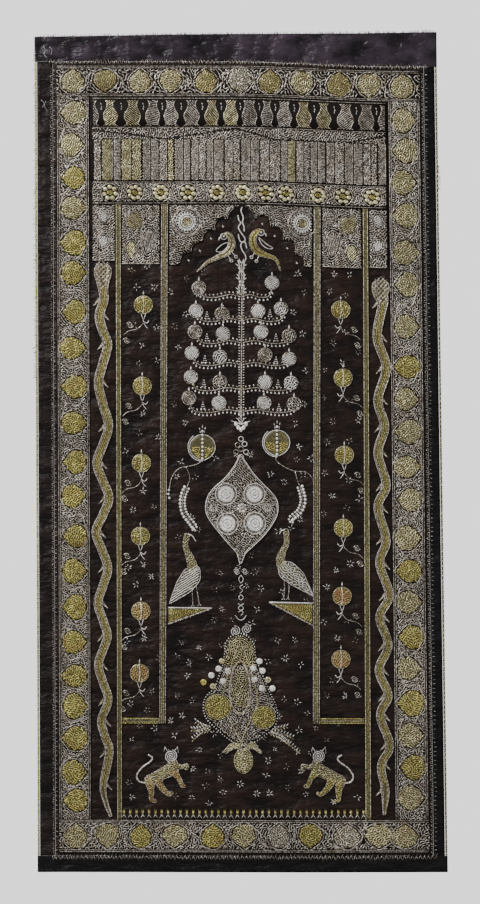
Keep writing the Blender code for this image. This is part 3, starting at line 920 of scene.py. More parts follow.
@dataclass(frozen=True)
class SatinFinish:
    """Woven satin, with its colour in the folds and a painted sheen colour where it catches light."""

    deep: tuple[float, float, float]
    painted_sheen: tuple[float, float, float]
    roughness: float = 0.5
    sheen: float = 0.0

    def make(self, name: str) -> bpy.types.Material:
        """Builds the material."""
        material = bpy.data.materials.new(name)
        material.use_nodes = True
        n = Nodes(material.node_tree)
        place = n.add("ShaderNodeUVMap").outputs[0]
        weave = n.add("ShaderNodeGroup", node_tree=Wardrobe.group("weave"), Place=place)
        # The painted sheen mixes each place from the unlit satin colour towards its lit colour.
        colour = n.mix(weave.outputs["PaintedSheen"], (*self.deep, 1.0), (*self.painted_sheen, 1.0))
        bump = n.add("ShaderNodeBump", Height=weave.outputs["Height"], Strength=1.0, Distance=0.02)
        shader = n.add(
            "ShaderNodeBsdfPrincipled", Base_Color=colour, Roughness=self.roughness, Normal=bump.outputs[0],
            Specular_IOR_Level=0.14, Sheen_Weight=self.sheen, Sheen_Roughness=0.4,
        )
        n.add("ShaderNodeOutputMaterial", Surface=shader.outputs[0])
        return material


class Wardrobe:
    """Every finish, made when it is first asked for."""

    recipes: dict[Finish, ThreadFinish | SatinFinish] = {
        # Each satin gives its unlit colour, then its painted sheen colour; the heading's is a violet painted sheen.
        Finish.SATIN: SatinFinish((0.0022, 0.001, 0.00069), (0.019, 0.009, 0.0058)),
        Finish.BORDER: SatinFinish((0.0029, 0.0015, 0.0013), (0.015, 0.0086, 0.0071)),
        Finish.HEADING: SatinFinish((0.0022, 0.0014, 0.0020), (0.040, 0.027, 0.039), 0.34, 0.2),
        Finish.FOOT: SatinFinish((0.00086, 0.00077, 0.00086), (0.0043, 0.0034, 0.004)),
        Finish.GROUND: SatinFinish((0.0022, 0.0015, 0.001), (0.009, 0.0062, 0.0043), 0.7),
        Finish.SILVER: ThreadFinish((0.77, 0.71, 0.62), (0.15, 0.12, 0.095), (0.28, 0.2, 0.11)),
        Finish.WHITE: ThreadFinish((0.98, 0.96, 0.92), (0.48, 0.44, 0.39), (0.55, 0.46, 0.34), 0.2, 0.3),
        Finish.STRAW: ThreadFinish((0.82, 0.76, 0.48), (0.21, 0.17, 0.073), (0.34, 0.25, 0.095)),
        Finish.GOLD: ThreadFinish((0.76, 0.69, 0.23), (0.21, 0.18, 0.034), (0.38, 0.22, 0.043)),
        Finish.COPPER: ThreadFinish((0.74, 0.57, 0.26), (0.26, 0.14, 0.043), (0.41, 0.15, 0.043), 0.8),
        Finish.PADDING: ThreadFinish((0.1, 0.086, 0.026), (0.022, 0.017, 0.0052), (0.052, 0.026, 0.0069),
                                     0.4, 0.2),
        Finish.BRAID: ThreadFinish((0.53, 0.46, 0.21), (0.15, 0.12, 0.047), (0.24, 0.15, 0.06)),
        Finish.FIBRE: ThreadFinish((0.57, 0.54, 0.55), (0.31, 0.28, 0.31), (0.31, 0.27, 0.26), 0.2, 0.0),
        Finish.SOOT: ThreadFinish((0.014, 0.0095, 0.0086), (0.0052, 0.0034, 0.0034),
                                  (0.0069, 0.0043, 0.0034), 0.2, 0.0),
    }
    made: dict[Finish, bpy.types.Material] = {}
    groups: dict[str, bpy.types.NodeTree] = {}

    @classmethod
    def get(cls, finish: Finish) -> bpy.types.Material:
        """The material of a finish."""
        if finish not in cls.made:
            cls.made[finish] = cls.recipes[finish].make(finish.value)
        return cls.made[finish]

    @classmethod
    def group(cls, kind: str) -> bpy.types.NodeTree:
        """A shared shader node group."""
        if kind not in cls.groups:
            cls.groups[kind] = {"glint_and_tarnish": glint_and_tarnish_group, "weave": weave_group}[kind]()
        return cls.groups[kind]


def in_box(left: float, right: float, top: float, bottom: float) -> Field:
    """Says which places lie in a box."""
    return lambda x, d: (x > left) & (x < right) & (d > top) & (d < bottom)


def outside(shapes: Sequence[Round], margin: float = 0.0) -> Field:
    """Says which places lie clear of every shape."""
    return lambda x, d: np.min([shape.gap(x, d) for shape in shapes], axis=0) > margin


def both(*tests: Field) -> Field:
    """Says which places pass every test."""
    return lambda x, d: np.logical_and.reduce([test(x, d) for test in tests])


def panel(work: Work, x: np.ndarray, depth: np.ndarray) -> None:
    """A flat worked piece over a grid of places."""
    m, n = x.shape
    face, back = (np.column_stack((x.ravel(), depth.ravel(), np.full(x.size, lift))) for lift in (BAND_FRONT,
                                                                                                  LAID))
    i = (np.arange(m - 1)[:, None] * n + np.arange(n - 1)).ravel()
    fronts = np.column_stack((i + n, i + n + 1, i + 1, i))
    rim = np.concatenate((
        np.arange(n), np.arange(1, m) * n + n - 1, (m - 1) * n + np.arange(n - 2, -1, -1),
        np.arange(m - 2, 0, -1) * n))
    after = np.roll(rim, -1)
    walls = np.column_stack((rim, after, after + n * m, rim + n * m))
    work.add(np.vstack((face, back)), [fronts, fronts[:, ::-1] + n * m, walls], Finish.GROUND)


def slab(work: Work, left: float, right: float, top: float, bottom: float) -> None:
    """A flat worked piece over a box of places, with corners close enough to follow the cloth."""
    xs = np.linspace(left, right, max(2, round((right - left) / SLAB_STEP) + 1))
    ds = np.linspace(top, bottom, max(2, round((bottom - top) / SLAB_STEP) + 1))
    panel(work, *np.meshgrid(xs, ds))


@dataclass
class GroundCloth:
    """The satin ground and the four plain strips sewn round it."""

    left: float = -431.0
    right: float = 421.0
    top: float = 64.0
    bottom: float = 1889.0
    outer_left: float = -473.0
    outer_right: float = 452.0
    braid: float = 5.8
    seam: float = 0.3
    hem: float = 15.0
    folds: tuple[tuple[float, float], ...] = ((-412, 0.3), (-316, -0.15), (-258, 0.1), (-60, 0.2),
                                              (182, -0.2))

    def build(self) -> None:
        """Models the ground and its strips."""
        Cloth("ground_satin", self.left, self.right, self.top, self.bottom, Finish.SATIN, "dark_satin",
              "field_cloth").build()
        Cloth("top_strip_satin", self.outer_left, self.outer_right, 0.0, self.top - self.seam,
              Finish.HEADING,
              "border_satin", "top_strip", 3.5).build(self.heading_front, self.heading_move)
        Cloth("bottom_strip_satin", self.outer_left, self.outer_right, self.bottom + self.seam, LENGTH,
              Finish.FOOT, "border_satin", "bottom_strip", 6.0).build()
        Cloth("left_strip_satin", self.outer_left + self.braid, self.left - self.seam, self.top, self.bottom,
              Finish.BORDER, "border_satin", "left_strip", 6.0).build()
        Cloth("right_strip_satin", self.right + self.seam, self.outer_right - self.braid, self.top,
              self.bottom,
              Finish.FOOT, "border_satin", "right_strip", 6.0).build()

    def heading_front(self, x: np.ndarray, depth: np.ndarray) -> np.ndarray:
        """The top strip's face: a doubled hem, a fold line and soft upright creases."""
        hem = 1.6 * (1 - smooth(depth, self.hem - 3, self.hem + 2))
        for at, tilt in self.folds:
            hem = hem + 1.5 * np.exp(-(((x - at - tilt * depth) / 4.5) ** 2)) * smooth(depth, 12, 26)
        ledge = depth - np.interp(x, (-473, 0, 452), (19, 23, 30))
        hem = hem + 1.3 * np.exp(-((ledge / 2.4) ** 2)) * (0.6 + 0.4 * np.sin(x * 0.05))
        crease = 0.8 * np.sin(x * 0.09 + 2.4 * np.sin(x * 0.031) + depth * 0.012) * smooth(depth, 8, 30)
        return CLOTH_FRONT + hem + crease

    def heading_move(self, x: np.ndarray, depth: np.ndarray) -> np.ndarray:
        """How the top edge runs."""
        return np.interp(x, HANG.top_at, HANG.top_by) * (1 - depth / self.top)


@dataclass
class Braids:
    """The twisted braid sewn down each outer side."""

    width: float = 5.5
    pitch: float = 11.0
    top: float = 64.0
    bottom: float = 1889.0

    def build(self) -> None:
        """Models both braids."""
        for side, edge, sign in (("left", -473.0, 1), ("right", 452.0, -1)):
            work = Work()
            middle = edge + sign * self.width / 2
            depth = np.arange(self.top, self.bottom, self.pitch / 7)
            for half in (0, 1):
                turn = 2 * np.pi * depth / self.pitch + half * np.pi
                path = np.column_stack((middle + 1.1 * np.cos(turn), depth))
                under = 0.6 + 0.9 * np.sin(turn)
                finish = Finish.BRAID if half == 0 else (Finish.GOLD if side == "left" else Finish.SOOT)
                work.cord(path, 3.1, 1.9, lambda x, d, u=under: u, finish, profile=ROUNDED)
            work.piece(f"{side}_braid", "edging_braid", f"{side}_edging")


@dataclass
class LeafBands:
    """Four bands of padded gold leaves on a silver vermicelli ground."""

    side_rows_left: tuple[float, ...] = (113, 145, 178, 208, 243, 273, 312, 348, 387, 423, 462, 496, 536,
                                         571, 607,
                                         642, 676, 706, 738, 772, 800)
    side_rows_right: tuple[float, ...] = (121, 151, 183, 216, 253, 285, 327, 367, 399, 432, 467, 500, 538,
                                          571, 602,
                                          637, 668, 703, 735, 767, 797)
    top_columns: tuple[float, ...] = (73, 105, 140, 171, 206, 240, 270, 302, 339, 369, 402)
    bottom_columns: tuple[float, ...] = (76, 108, 141, 175, 213, 244, 279, 310, 347, 379, 405)
    left: tuple[float, float] = (-422.0, -348.0)
    right: tuple[float, float] = (339.0, 411.0)
    top: tuple[float, float] = (73.0, 144.0)
    bottom: tuple[float, float] = (1806.0, 1881.0)
    pad_height: float = 3.0
    threads: dict[str,
                  float] = field(default_factory=lambda: {"left": 4.3, "right": 4.2, "top": 5.9,
                                                          "bottom": 5.0})
    tones: dict[str, tuple[Finish, ...]] = field(default_factory=lambda: {
        "left": (Finish.STRAW, Finish.STRAW, Finish.GOLD, Finish.STRAW, *(Finish.GOLD,) * 17),
        "right": (*(Finish.STRAW,) * 7, Finish.GOLD, *(Finish.STRAW,) * 5, *(Finish.GOLD, Finish.STRAW) * 4),
        "top": (Finish.STRAW, Finish.BRAID, Finish.STRAW, Finish.STRAW, Finish.BRAID, Finish.SILVER,
                Finish.BRAID),
        "bottom": (Finish.STRAW, Finish.STRAW, Finish.GOLD, Finish.STRAW, Finish.GOLD, Finish.STRAW,
                   Finish.SILVER,
                   Finish.GOLD, Finish.SILVER, Finish.STRAW, Finish.STRAW),
    })

    def build(self) -> None:
        """Models the four bands."""
        rng = np.random.default_rng(5)
        for side, (low, high), rows_at in (("left", self.left, self.side_rows_left),
                                           ("right", self.right, self.side_rows_right)):
            middle = (low + high) / 2
            pads = []
            for k, row in enumerate(rows_at):
                column = 240 + middle / PIXEL
                x, depth = HANG.cut(seen((column, row)))[0]
                sign = 1 if (k % 2 == 1) == (side == "left") else -1
                pads.append(Round(middle - 4 * sign + rng.uniform(-2, 2), depth, 25 + rng.uniform(-1.5, 2),
                                  28 + rng.uniform(-2, 2), 0.28, 0 if sign > 0 else 180,
                                  scallop=0.045))
            self.band(side, (low, high, self.top[1] + 0.3, self.bottom[0] - 0.3), pads, True)
        for side, (high, low), columns in (("top", self.top, self.top_columns),
                                           ("bottom", self.bottom, self.bottom_columns)):
            pads = []
            for k, column in enumerate(columns):
                x = HANG.cut(seen((column, TOP_PIXEL + (high + low) / 2 / PIXEL)))[0][0]
                up = k % 2 == 0
                pads.append(Round(x, (high + low) / 2 + (3 if up else -3), 27 + rng.uniform(-2, 2),
                                  24 + rng.uniform(-1, 2), 0.26, -90 if up else 90, scallop=0.045))
            self.band(side, (self.left[0], self.right[1], high, low), pads, False)

    def band(self, side: str, box: tuple[float, float, float, float], pads: Sequence[Round],
             upright: bool) -> None:
        """Models one band.

        Args:
            side: Which band.
            box: Its left, right, top and bottom.
            pads: Its leaves.
            upright: Whether it runs downwards.
        """
        left, right, top, bottom = box
        work = Work()
        slab(work, left, right, top, bottom)
        edge = 8.0
        for inset in (1.6, 5.4):
            if upright:
                lines = [((left + inset, top), (left + inset, bottom)),
                         ((right - inset, top), (right - inset, bottom))]
            else:
                lines = [((left, top + inset), (right, top + inset)),
                         ((left, bottom - inset), (right, bottom - inset))]
            for start, end in lines:
                count = max(2, int(math.dist(start, end) / 18))
                path = np.linspace(start, end, count)
                work.cord(path, 1.7, 1.2, BAND_FRONT, Finish.SILVER)
        inner = in_box(*((left + edge, right - edge, top, bottom) if upright else
                         (left, right, top + edge, bottom - edge)))
        seed = len(pads) + ord(side[0])
        near = 150.0
        along = np.arange(top if upright else left, bottom if upright else right, near)
        for k, start in enumerate(along):
            part = (left + edge, right - edge, start, min(start + near, bottom)) if upright else \
                   (start, min(start + near, right), top + edge, bottom - edge)
            close = [p for p in pads if start - 60 < (p.depth if upright else p.x) < start + near + 60]
            gap = self.threads[side]
            plan = echo(meander(seed, gap), close, gap)
            work.maze(part, plan, both(inner, in_box(*part), outside(close, 2.6)), BAND_FRONT, Finish.SILVER)
        for k, pad in enumerate(pads):
            work.dome(pad, BAND_FRONT - 0.4, self.pad_height, Finish.PADDING)
            reach = max(pad.across, pad.down) * 1.4
            tone = self.tones[side][k % len(self.tones[side])]
            work.maze(around(pad.x, pad.depth, reach), meander(200 + k, 4.3),
                      lambda x, d, f=pad: f.ratio(x, d) < 0.97,
                      pad.dome(BAND_FRONT - 0.5, self.pad_height), tone, 2.0, 2.8, 1.2)
            rim = Round(pad.x, pad.depth, pad.across + 3, pad.down + 3, pad.tip, pad.turn)
            work.cord(rim.outline(40), 1.8, 1.5, BAND_FRONT, Finish.SILVER, True)
        self.vine(work, pads, box, upright)
        work.piece(f"leaf_band_{side}_work", "silver_thread", f"leaf_band_{side}")

    def vine(self, work: Work, pads: Sequence[Round], box: tuple[float, float, float, float],
             upright: bool) -> None:
        """A raised stem that winds between the leaves."""
        left, right, top, bottom = box
        for a, b in zip(pads, pads[1:]):
            if upright:
                low, high = (left + 9, right - 9) if a.turn == 0 else (right - 9, left + 9)
                points = ((low, a.depth + 8), (low * 0.7 + high * 0.3, (a.depth + b.depth) / 2 + 1),
                          (low * 0.2 + high * 0.8, (a.depth + b.depth) / 2 - 3), (high, b.depth - 8))
            else:
                low, high = (top + 9, bottom - 9) if a.turn > 0 else (bottom - 9, top + 9)
                points = ((a.x + 10, low), ((a.x + b.x) / 2 - 2, low * 0.6 + high * 0.4),
                          ((a.x + b.x) / 2 + 2, low * 0.2 + high * 0.8), (b.x - 6, high))
            work.cord(curve(np.array(points), 5.0), 2.4, 2.2, BAND_FRONT, Finish.SILVER)


@dataclass
class Friezes:
    """The row of flasks, the fluted panel and the row of rosettes."""

    left: float = -342.0
    right: float = 335.0
    flasks: tuple[float, ...] = (101, 121, 143, 162, 181, 202, 221, 240, 259, 275, 294, 314, 334, 356, 376)
    girths: tuple[float, ...] = (0.95, 1.3, 1.0, 0.85, 1.15, 1.05, 0.95, 0.8, 0.85, 0.85, 0.95, 1.1, 1.2,
                                 1.0, 0.85)
    rosettes: tuple[float, ...] = (110, 135, 161, 188, 217, 243, 266, 286, 318, 343, 372)
    flask_rows: tuple[float, float] = (147.0, 216.0)
    fluted_rows: tuple[float, float] = (217.0, 338.0)
    rosette_rows: tuple[float, float] = (339.0, 391.0)
    flutes: int = 34
    shape_at: tuple[float, ...] = (0.0, 0.08, 0.2, 0.36, 0.50, 0.62, 0.74, 0.86, 0.94, 1.0)
    shape_half: tuple[float, ...] = (10.0, 13.5, 14.0, 11.0, 6.5, 5.0, 6.5, 10.0, 10.5, 5.0)

    def build(self) -> None:
        """Models the three friezes."""
        self.flask_frieze()
        self.fluted_panel()
        self.rosette_band()

    def lines(self, work: Work, depths: Sequence[float], finish: Finish, width: float = 2.2) -> None:
        """Level couched lines from side to side."""
        for depth in depths:
            path = np.linspace((self.left + 2, depth), (self.right - 2, depth), 40)
            work.cord(path, width, 1.3, BAND_FRONT, finish)

    def flask_frieze(self) -> None:
        """Dark flasks left bare between hatched silver vases."""
        top, bottom = self.flask_rows
        work = Work()
        slab(work, self.left, self.right, top, bottom)
        head, foot = top + 6.0, bottom - 4.5
        xs = np.array([HANG.cut(seen((column, 112)))[0][0] for column in self.flasks])
        girth = np.array(self.girths)

        def bare(x: np.ndarray, d: np.ndarray) -> np.ndarray:
            """Whether a place lies in a flask."""
            half = np.interp((d - head) / (foot - head), self.shape_at, self.shape_half)
            off = np.min([np.abs(x - c) / g for c, g in zip(xs, girth)], axis=0)
            return (off < half) & (d > head) & (d < foot)

        bounds = [self.left + 4, *xs, self.right - 4]
        for k, (x0, x1) in enumerate(zip(bounds, bounds[1:])):
            tilt = (52, -38, 35, 12, -30, 48)[k % 6]
            finish = (Finish.SILVER, Finish.STRAW, Finish.STRAW, Finish.SILVER, Finish.SILVER)[k % 5]
            work.maze((x0, x1, head, foot), rows(tilt, 4.0, 0.6), both(in_box(x0, x1, head, foot),
                      lambda x, d: ~bare(x, d)), BAND_FRONT, finish, 1.8, 2.3, 1.0)
        level = np.linspace(head, foot, 18)
        half = np.interp((level - head) / (foot - head), self.shape_at, self.shape_half)
        for x0, wide in zip(xs, girth):
            for sign in (-1, 1):
                path = np.column_stack((x0 + sign * (half * wide + 0.8), level))
                work.cord(path, 1.7, 1.3, BAND_FRONT, Finish.SILVER)
            marks = np.array(((x0 - 0.6, head + 5.0), (x0 + 0.9, head + 12.0), (x0, head + 17.0)))
            work.stitches(marks, marks + (1.6, 6.0), 2.2, 1.0, BAND_FRONT, Finish.WHITE)
        self.lines(work, (top + 1.2, bottom - 0.9), Finish.SILVER, 1.7)
        work.piece("flask_frieze_work", "silver_thread", "flask_frieze")

    def fluted_panel(self) -> None:
        """A swag of fine ground over a row of upright flutes."""
        top, bottom = self.fluted_rows
        work = Work()
        slab(work, self.left, self.right, top, bottom)
        eaves = top + 25.0
        valley = np.array([[self.left + 6, top + 4], [-172, top + 25], [-10, top + 1], [80, top + 24],
                           [240, top + 26],
                           [self.right - 4, top + 6]])
        swag = lambda x, d: np.abs(d - np.interp(x, valley[:, 0], valley[:, 1])) > 1.6
        work.maze((self.left, self.right, top, eaves), meander(31, 4.4),
                  both(in_box(self.left + 3, self.right - 3, top + 1, eaves), swag), BAND_FRONT,
                  Finish.SILVER)
        rng = np.random.default_rng(8)
        widths = rng.uniform(0.7, 1.3, self.flutes)
        edges = self.left + 4 + np.concatenate(([0.0],
                                                np.cumsum(widths) / widths.sum())) * (self.right - self.left - 6)
        for k, (x0, x1) in enumerate(zip(edges, edges[1:])):
            finish = Finish.STRAW if k in (1, 3, 4, 8, 22) else Finish.SILVER
            rib = Round((x0 + x1) / 2, (eaves + bottom) / 2, (x1 - x0) / 2, 400.0)
            plan = (meander(60 + k, 3.5), rows(62, 3.3, 0.8), rows(4, 3.3, 0.9), meander(90 + k, 3.2))[k % 4]
            path = np.linspace((rib.x, eaves + 2), (rib.x, bottom - 2), 8)
            work.cord(path, x1 - x0 - 2.0, 1.5, BAND_FRONT - 0.2, Finish.GROUND, profile=ROUNDED)
            work.maze((x0, x1, eaves + 1, bottom - 2), plan,
                      in_box(x0 + 1.0, x1 - 1.0, eaves + 1, bottom - 2),
                      rib.dome(BAND_FRONT, 1.4), finish, 1.8, 2.5, 0.9)
            if k % 2:
                work.cord(path + (rib.across - 1.2, 0.0), 1.6, 1.8, BAND_FRONT, Finish.SILVER)
        work.piece("fluted_panel_work", "silver_thread", "fluted_panel")

    def rosette_band(self) -> None:
        """A row of round flowers on a fine ground."""
        top, bottom = self.rosette_rows
        work = Work()
        slab(work, self.left, self.right, top, bottom)
        middle = (top + bottom) / 2
        flowers = [Round(HANG.cut(seen((column, 195)))[0][0], middle, 19.0,
                         19.0) for column in self.rosettes]
        work.maze((self.left, self.right, top, bottom), echo(meander(33, 3.9), flowers, 3.9),
                  both(in_box(self.left + 3, self.right - 3, top + 5, bottom - 5), outside(flowers, 0.5)),
                  BAND_FRONT, Finish.SILVER)
        for k, flower in enumerate(flowers):
            rosette(work, flower.x, flower.depth, 19.0, BAND_FRONT, Finish.GOLD, 7 + k % 3)
        self.lines(work, (top + 2.0, bottom - 2.0), Finish.SILVER, 1.7)
        work.piece("rosette_band_work", "silver_thread", "rosette_band")


def rosette(work: Work, x: float, depth: float, radius: float, base: float, heart: Finish,
            petals: int) -> None:
    """A round flower: a ring of petals round a coiled heart."""
    for way in wheel(petals, 0.2):
        petal = Round(*(np.array((x, depth)) + 0.7 * radius * way), radius * 0.32, radius * 0.27)
        work.dome(petal, base, 1.3, Finish.STRAW if heart is Finish.GOLD else Finish.SILVER, 8, 2)
    work.maze(around(x, depth, radius), coil(x, depth, 2.9),
              lambda a, b: np.hypot(a - x, b - depth) < 0.34 * radius, base, heart, 1.3, 1.9, 1.2)


@dataclass
class ArchPanels:
    """The worked panels beside and round the lobed arch."""

    top: float = 392.0
    lobes: tuple[tuple[float, float, float], ...] = (
        (3, 429, 31), (-39, 443, 18), (-66, 471, 18), (-91, 499, 19), (-117, 521, 18), (51, 436, 18),
        (80, 463, 20),
        (109, 490, 18), (131, 523, 17))
    foot: float = 532.0
    arch_sides: tuple[float, float] = (-162.0, 168.0)
    ring_flowers: tuple[tuple[float, float], ...] = ((187, 222), (302, 224))
    panels: tuple[tuple[str, float, float, float], ...] = (
        ("side_panel_left", -342.0, -288.0, 522.0), ("mid_panel_left", -274.0, -182.0, 530.0),
        ("mid_panel_right", 188.0, 279.0, 530.0), ("side_panel_right", 293.0, 335.0, 528.0))

    def arch(self, x: np.ndarray) -> np.ndarray:
        """Depth of the arch panel's lower edge."""
        edge = np.full(np.shape(x), self.foot)
        for middle, depth, radius in self.lobes:
            off = np.abs(x - middle)
            edge = np.where(off <= radius,
                            np.minimum(edge, depth - np.sqrt(np.maximum(radius**2 - off**2, 0))), edge)
        return edge

    def build(self) -> None:
        """Models the five panels."""
        for name, x0, x1, bottom in self.panels:
            self.side(name, x0, x1, bottom)
        self.spandrel()

    def side(self, name: str, x0: float, x1: float, bottom: float) -> None:
        """Models a panel of flowers or birds on a fine ground."""
        work = Work()
        slab(work, x0, x1, self.top, bottom)
        centre = (x0 + x1) / 2
        if name.startswith("mid"):
            sign = 1 if "left" in name else -1
            forms = [Round(centre - sign * 14, 432, 18, 20, 0.2, -60, scallop=0.12, scallops=7),
                     Round(centre + sign * 20, 474, 15, 26, 0.3, 100),
                     Round(centre - sign * 22, 494, 12, 17, 0.4, 90),
                     Round(centre + sign * 25, 418, 10, 13, 0.4, -90)]
            kinds = [Finish.STRAW, Finish.SILVER, Finish.STRAW, Finish.SILVER]
        else:
            forms = [Round(centre + 1, 420, 8, 11, 0.5, 60), Round(centre + 1, 476, 9, 12, 0.5, 120)]
            kinds = [Finish.WHITE, Finish.WHITE]
        plan = echo(meander(len(name) + int(abs(x0)), 4.1), forms, 4.1, 2.4)
        work.maze((x0, x1, self.top, bottom), plan,
                  both(in_box(x0 + 2, x1 - 2, self.top + 2, bottom - 2), outside(forms, 0.6)), BAND_FRONT,
                  Finish.SILVER)
        for k, (form, kind) in enumerate(zip(forms, kinds)):
            work.dome(form, BAND_FRONT - 0.3, 1.7, Finish.GROUND, 20, 3)
            reach = max(form.across, form.down) * 1.5
            work.maze(around(form.x, form.depth, reach), rows(30 + 50 * k, 3.6, 0.6),
                      lambda x, d, f=form: f.ratio(x, d) < 0.95,
                      form.dome(BAND_FRONT - 0.4, 1.7), kind, 1.8, 2.7, 1.2)
        path = np.linspace((x0 + 1, bottom - 1.5), (x1 - 1, bottom - 1.5), 8)
        work.cord(path, 2.2, 1.4, BAND_FRONT, Finish.SILVER)
        work.piece(name + "_work", "silver_thread", name)

    def spandrel(self) -> None:
        """Models the panel that is cut to a lobed arch, with a ringed flower on each side."""
        work = Work()
        x0, x1 = self.arch_sides
        ends = [middle + sign * (radius - 0.01) for middle, _, radius in self.lobes for sign in (-1, 1)]
        xs = np.unique(np.concatenate((np.linspace(x0, x1, 111), ends)))
        x, t = np.meshgrid(xs, np.linspace(0, 1, 5))
        panel(work, x, self.top + t * (self.arch(x) - self.top))
        flowers = [Round(*HANG.cut(seen(at))[0], 23, 23) for at in self.ring_flowers]
        plan = echo(meander(77, 4.1), flowers, 4.1, 2.6)
        under = lambda a, b: b < self.arch(a) - 2.0
        bulbs = [Round(x, depth, radius, radius) for x, depth, radius in self.lobes]
        for bulb in bulbs[1:]:
            work.stitches(((bulb.x - 4, bulb.depth + 1), (bulb.x - 2, bulb.depth - 4)),
                          ((bulb.x + 5, bulb.depth), (bulb.x + 2, bulb.depth + 5)), 2.1, 1.6, 1.2,
                          Finish.WHITE)
        work.maze((x0, x1, self.top, 534.0), plan,
                  both(in_box(x0 + 2, x1 - 2, self.top + 2, 531.0), under, outside(flowers, 0.5),
                       outside(bulbs, 3.4)),
                  BAND_FRONT, Finish.SILVER)
        for flower in flowers:
            ring, centre = wheel(21), np.array((flower.x, flower.depth))
            work.stitches(centre + ring * 16.5, centre + ring * 24.0, 5.2, 2.6, BAND_FRONT, Finish.WHITE)
            for radius in (17.2, 12.6):
                circle = Round(flower.x, flower.depth, radius, radius)
                work.cord(circle.outline(30), 3.2, 2.4, BAND_FRONT, Finish.WHITE, True)
            work.cord(Round(flower.x, flower.depth, 32, 32).outline(40), 2.0, 1.8, BAND_FRONT, Finish.SILVER,
                      True)
            work.maze(around(flower.x, flower.depth, 13), meander(41, 3.4),
                      lambda a, b, f=flower: np.hypot(a - f.x, b - f.depth) < 10.0, BAND_FRONT, Finish.STRAW,
                      1.6, 2.2)
        near = lambda a, b: np.min([bulb.gap(a, b) for bulb in bulbs], axis=0) - 1.2
        work.maze((x0, x1, self.top, 534.0), near, both(in_box(x0 + 2, x1 - 2, self.top + 2, 531.0), under),
                  BAND_FRONT, Finish.SILVER, 2.2, 1.7, 1.3)
        work.piece("arch_panel_work", "silver_thread", "arch_panel")


@dataclass
class Pillars:
    """Four couched pillars: bright lines beside a ladder of chips."""

    top: float = 392.0
    foot: float = 1579.0
    bottom: float = 1805.7
    places: tuple[tuple[str, float, float], ...] = (("left", -281.0, -172.0), ("right", 286.0, 178.0))
    outer_half: float = 5.6
    inner_half: float = 7.6
    foot_half: float = 6.4

    def build(self) -> None:
        """Models the pillars."""
        for side, outer, inner in self.places:
            work = Work()
            path = level_with(outer, np.linspace(self.top, self.bottom, 80))
            self.strip(work, path, self.outer_half, (Finish.STRAW, Finish.BRAID))
            work.piece(f"outer_pillar_{side}_work", "gold_thread", f"outer_pillar_{side}")
            work = Work()
            path = level_with(inner, np.linspace(self.top, self.foot + 7, 70))
            self.strip(work, path, self.inner_half, (Finish.SILVER, Finish.STRAW))
            sign = 1 if outer > 0 else -1
            foot = np.linspace((inner + sign * 8.5, self.foot), (outer - sign * 6.2, self.foot), 8)
            self.strip(work, foot, self.foot_half, (Finish.GOLD, Finish.STRAW))
            work.piece(f"inner_pillar_{side}_work", "gold_thread", f"inner_pillar_{side}")

    def strip(self, work: Work, path: Places, half: float, kinds: tuple[Finish, Finish]) -> None:
        """A padded strip with a bright and a dark line down each side and stitched chips between."""
        work.cord(path, 2 * half, 1.9, LAID, Finish.PADDING, profile=ROUNDED)
        along = path[-1] - path[0]
        length = float(np.linalg.norm(along))
        along /= length
        side = np.array((-along[1], along[0]))
        for sign in (-1, 1):
            work.cord(path + side * sign * (half - 1.1), 2.1, 1.6, LAID + 0.9, kinds[0], profile=ROUNDED)
            work.cord(path + side * sign * (half - 2.9), 1.1, 1.0, LAID + 1.6, Finish.SOOT, profile=ROUNDED)
        steps = np.arange(1.5, length - 1.5, 3.4)
        for sign in (-1, 1):
            middle = path[0] + steps[:, None] * along + side * sign * (half - 2.4) * 0.5
            tilt = along * 1.3 * sign
            work.stitches(middle - side * (half - 2.6) * 0.5 - tilt,
                          middle + side * (half - 2.6) * 0.5 + tilt,
                          2.4, 1.2, LAID + 1.6, kinds[1])


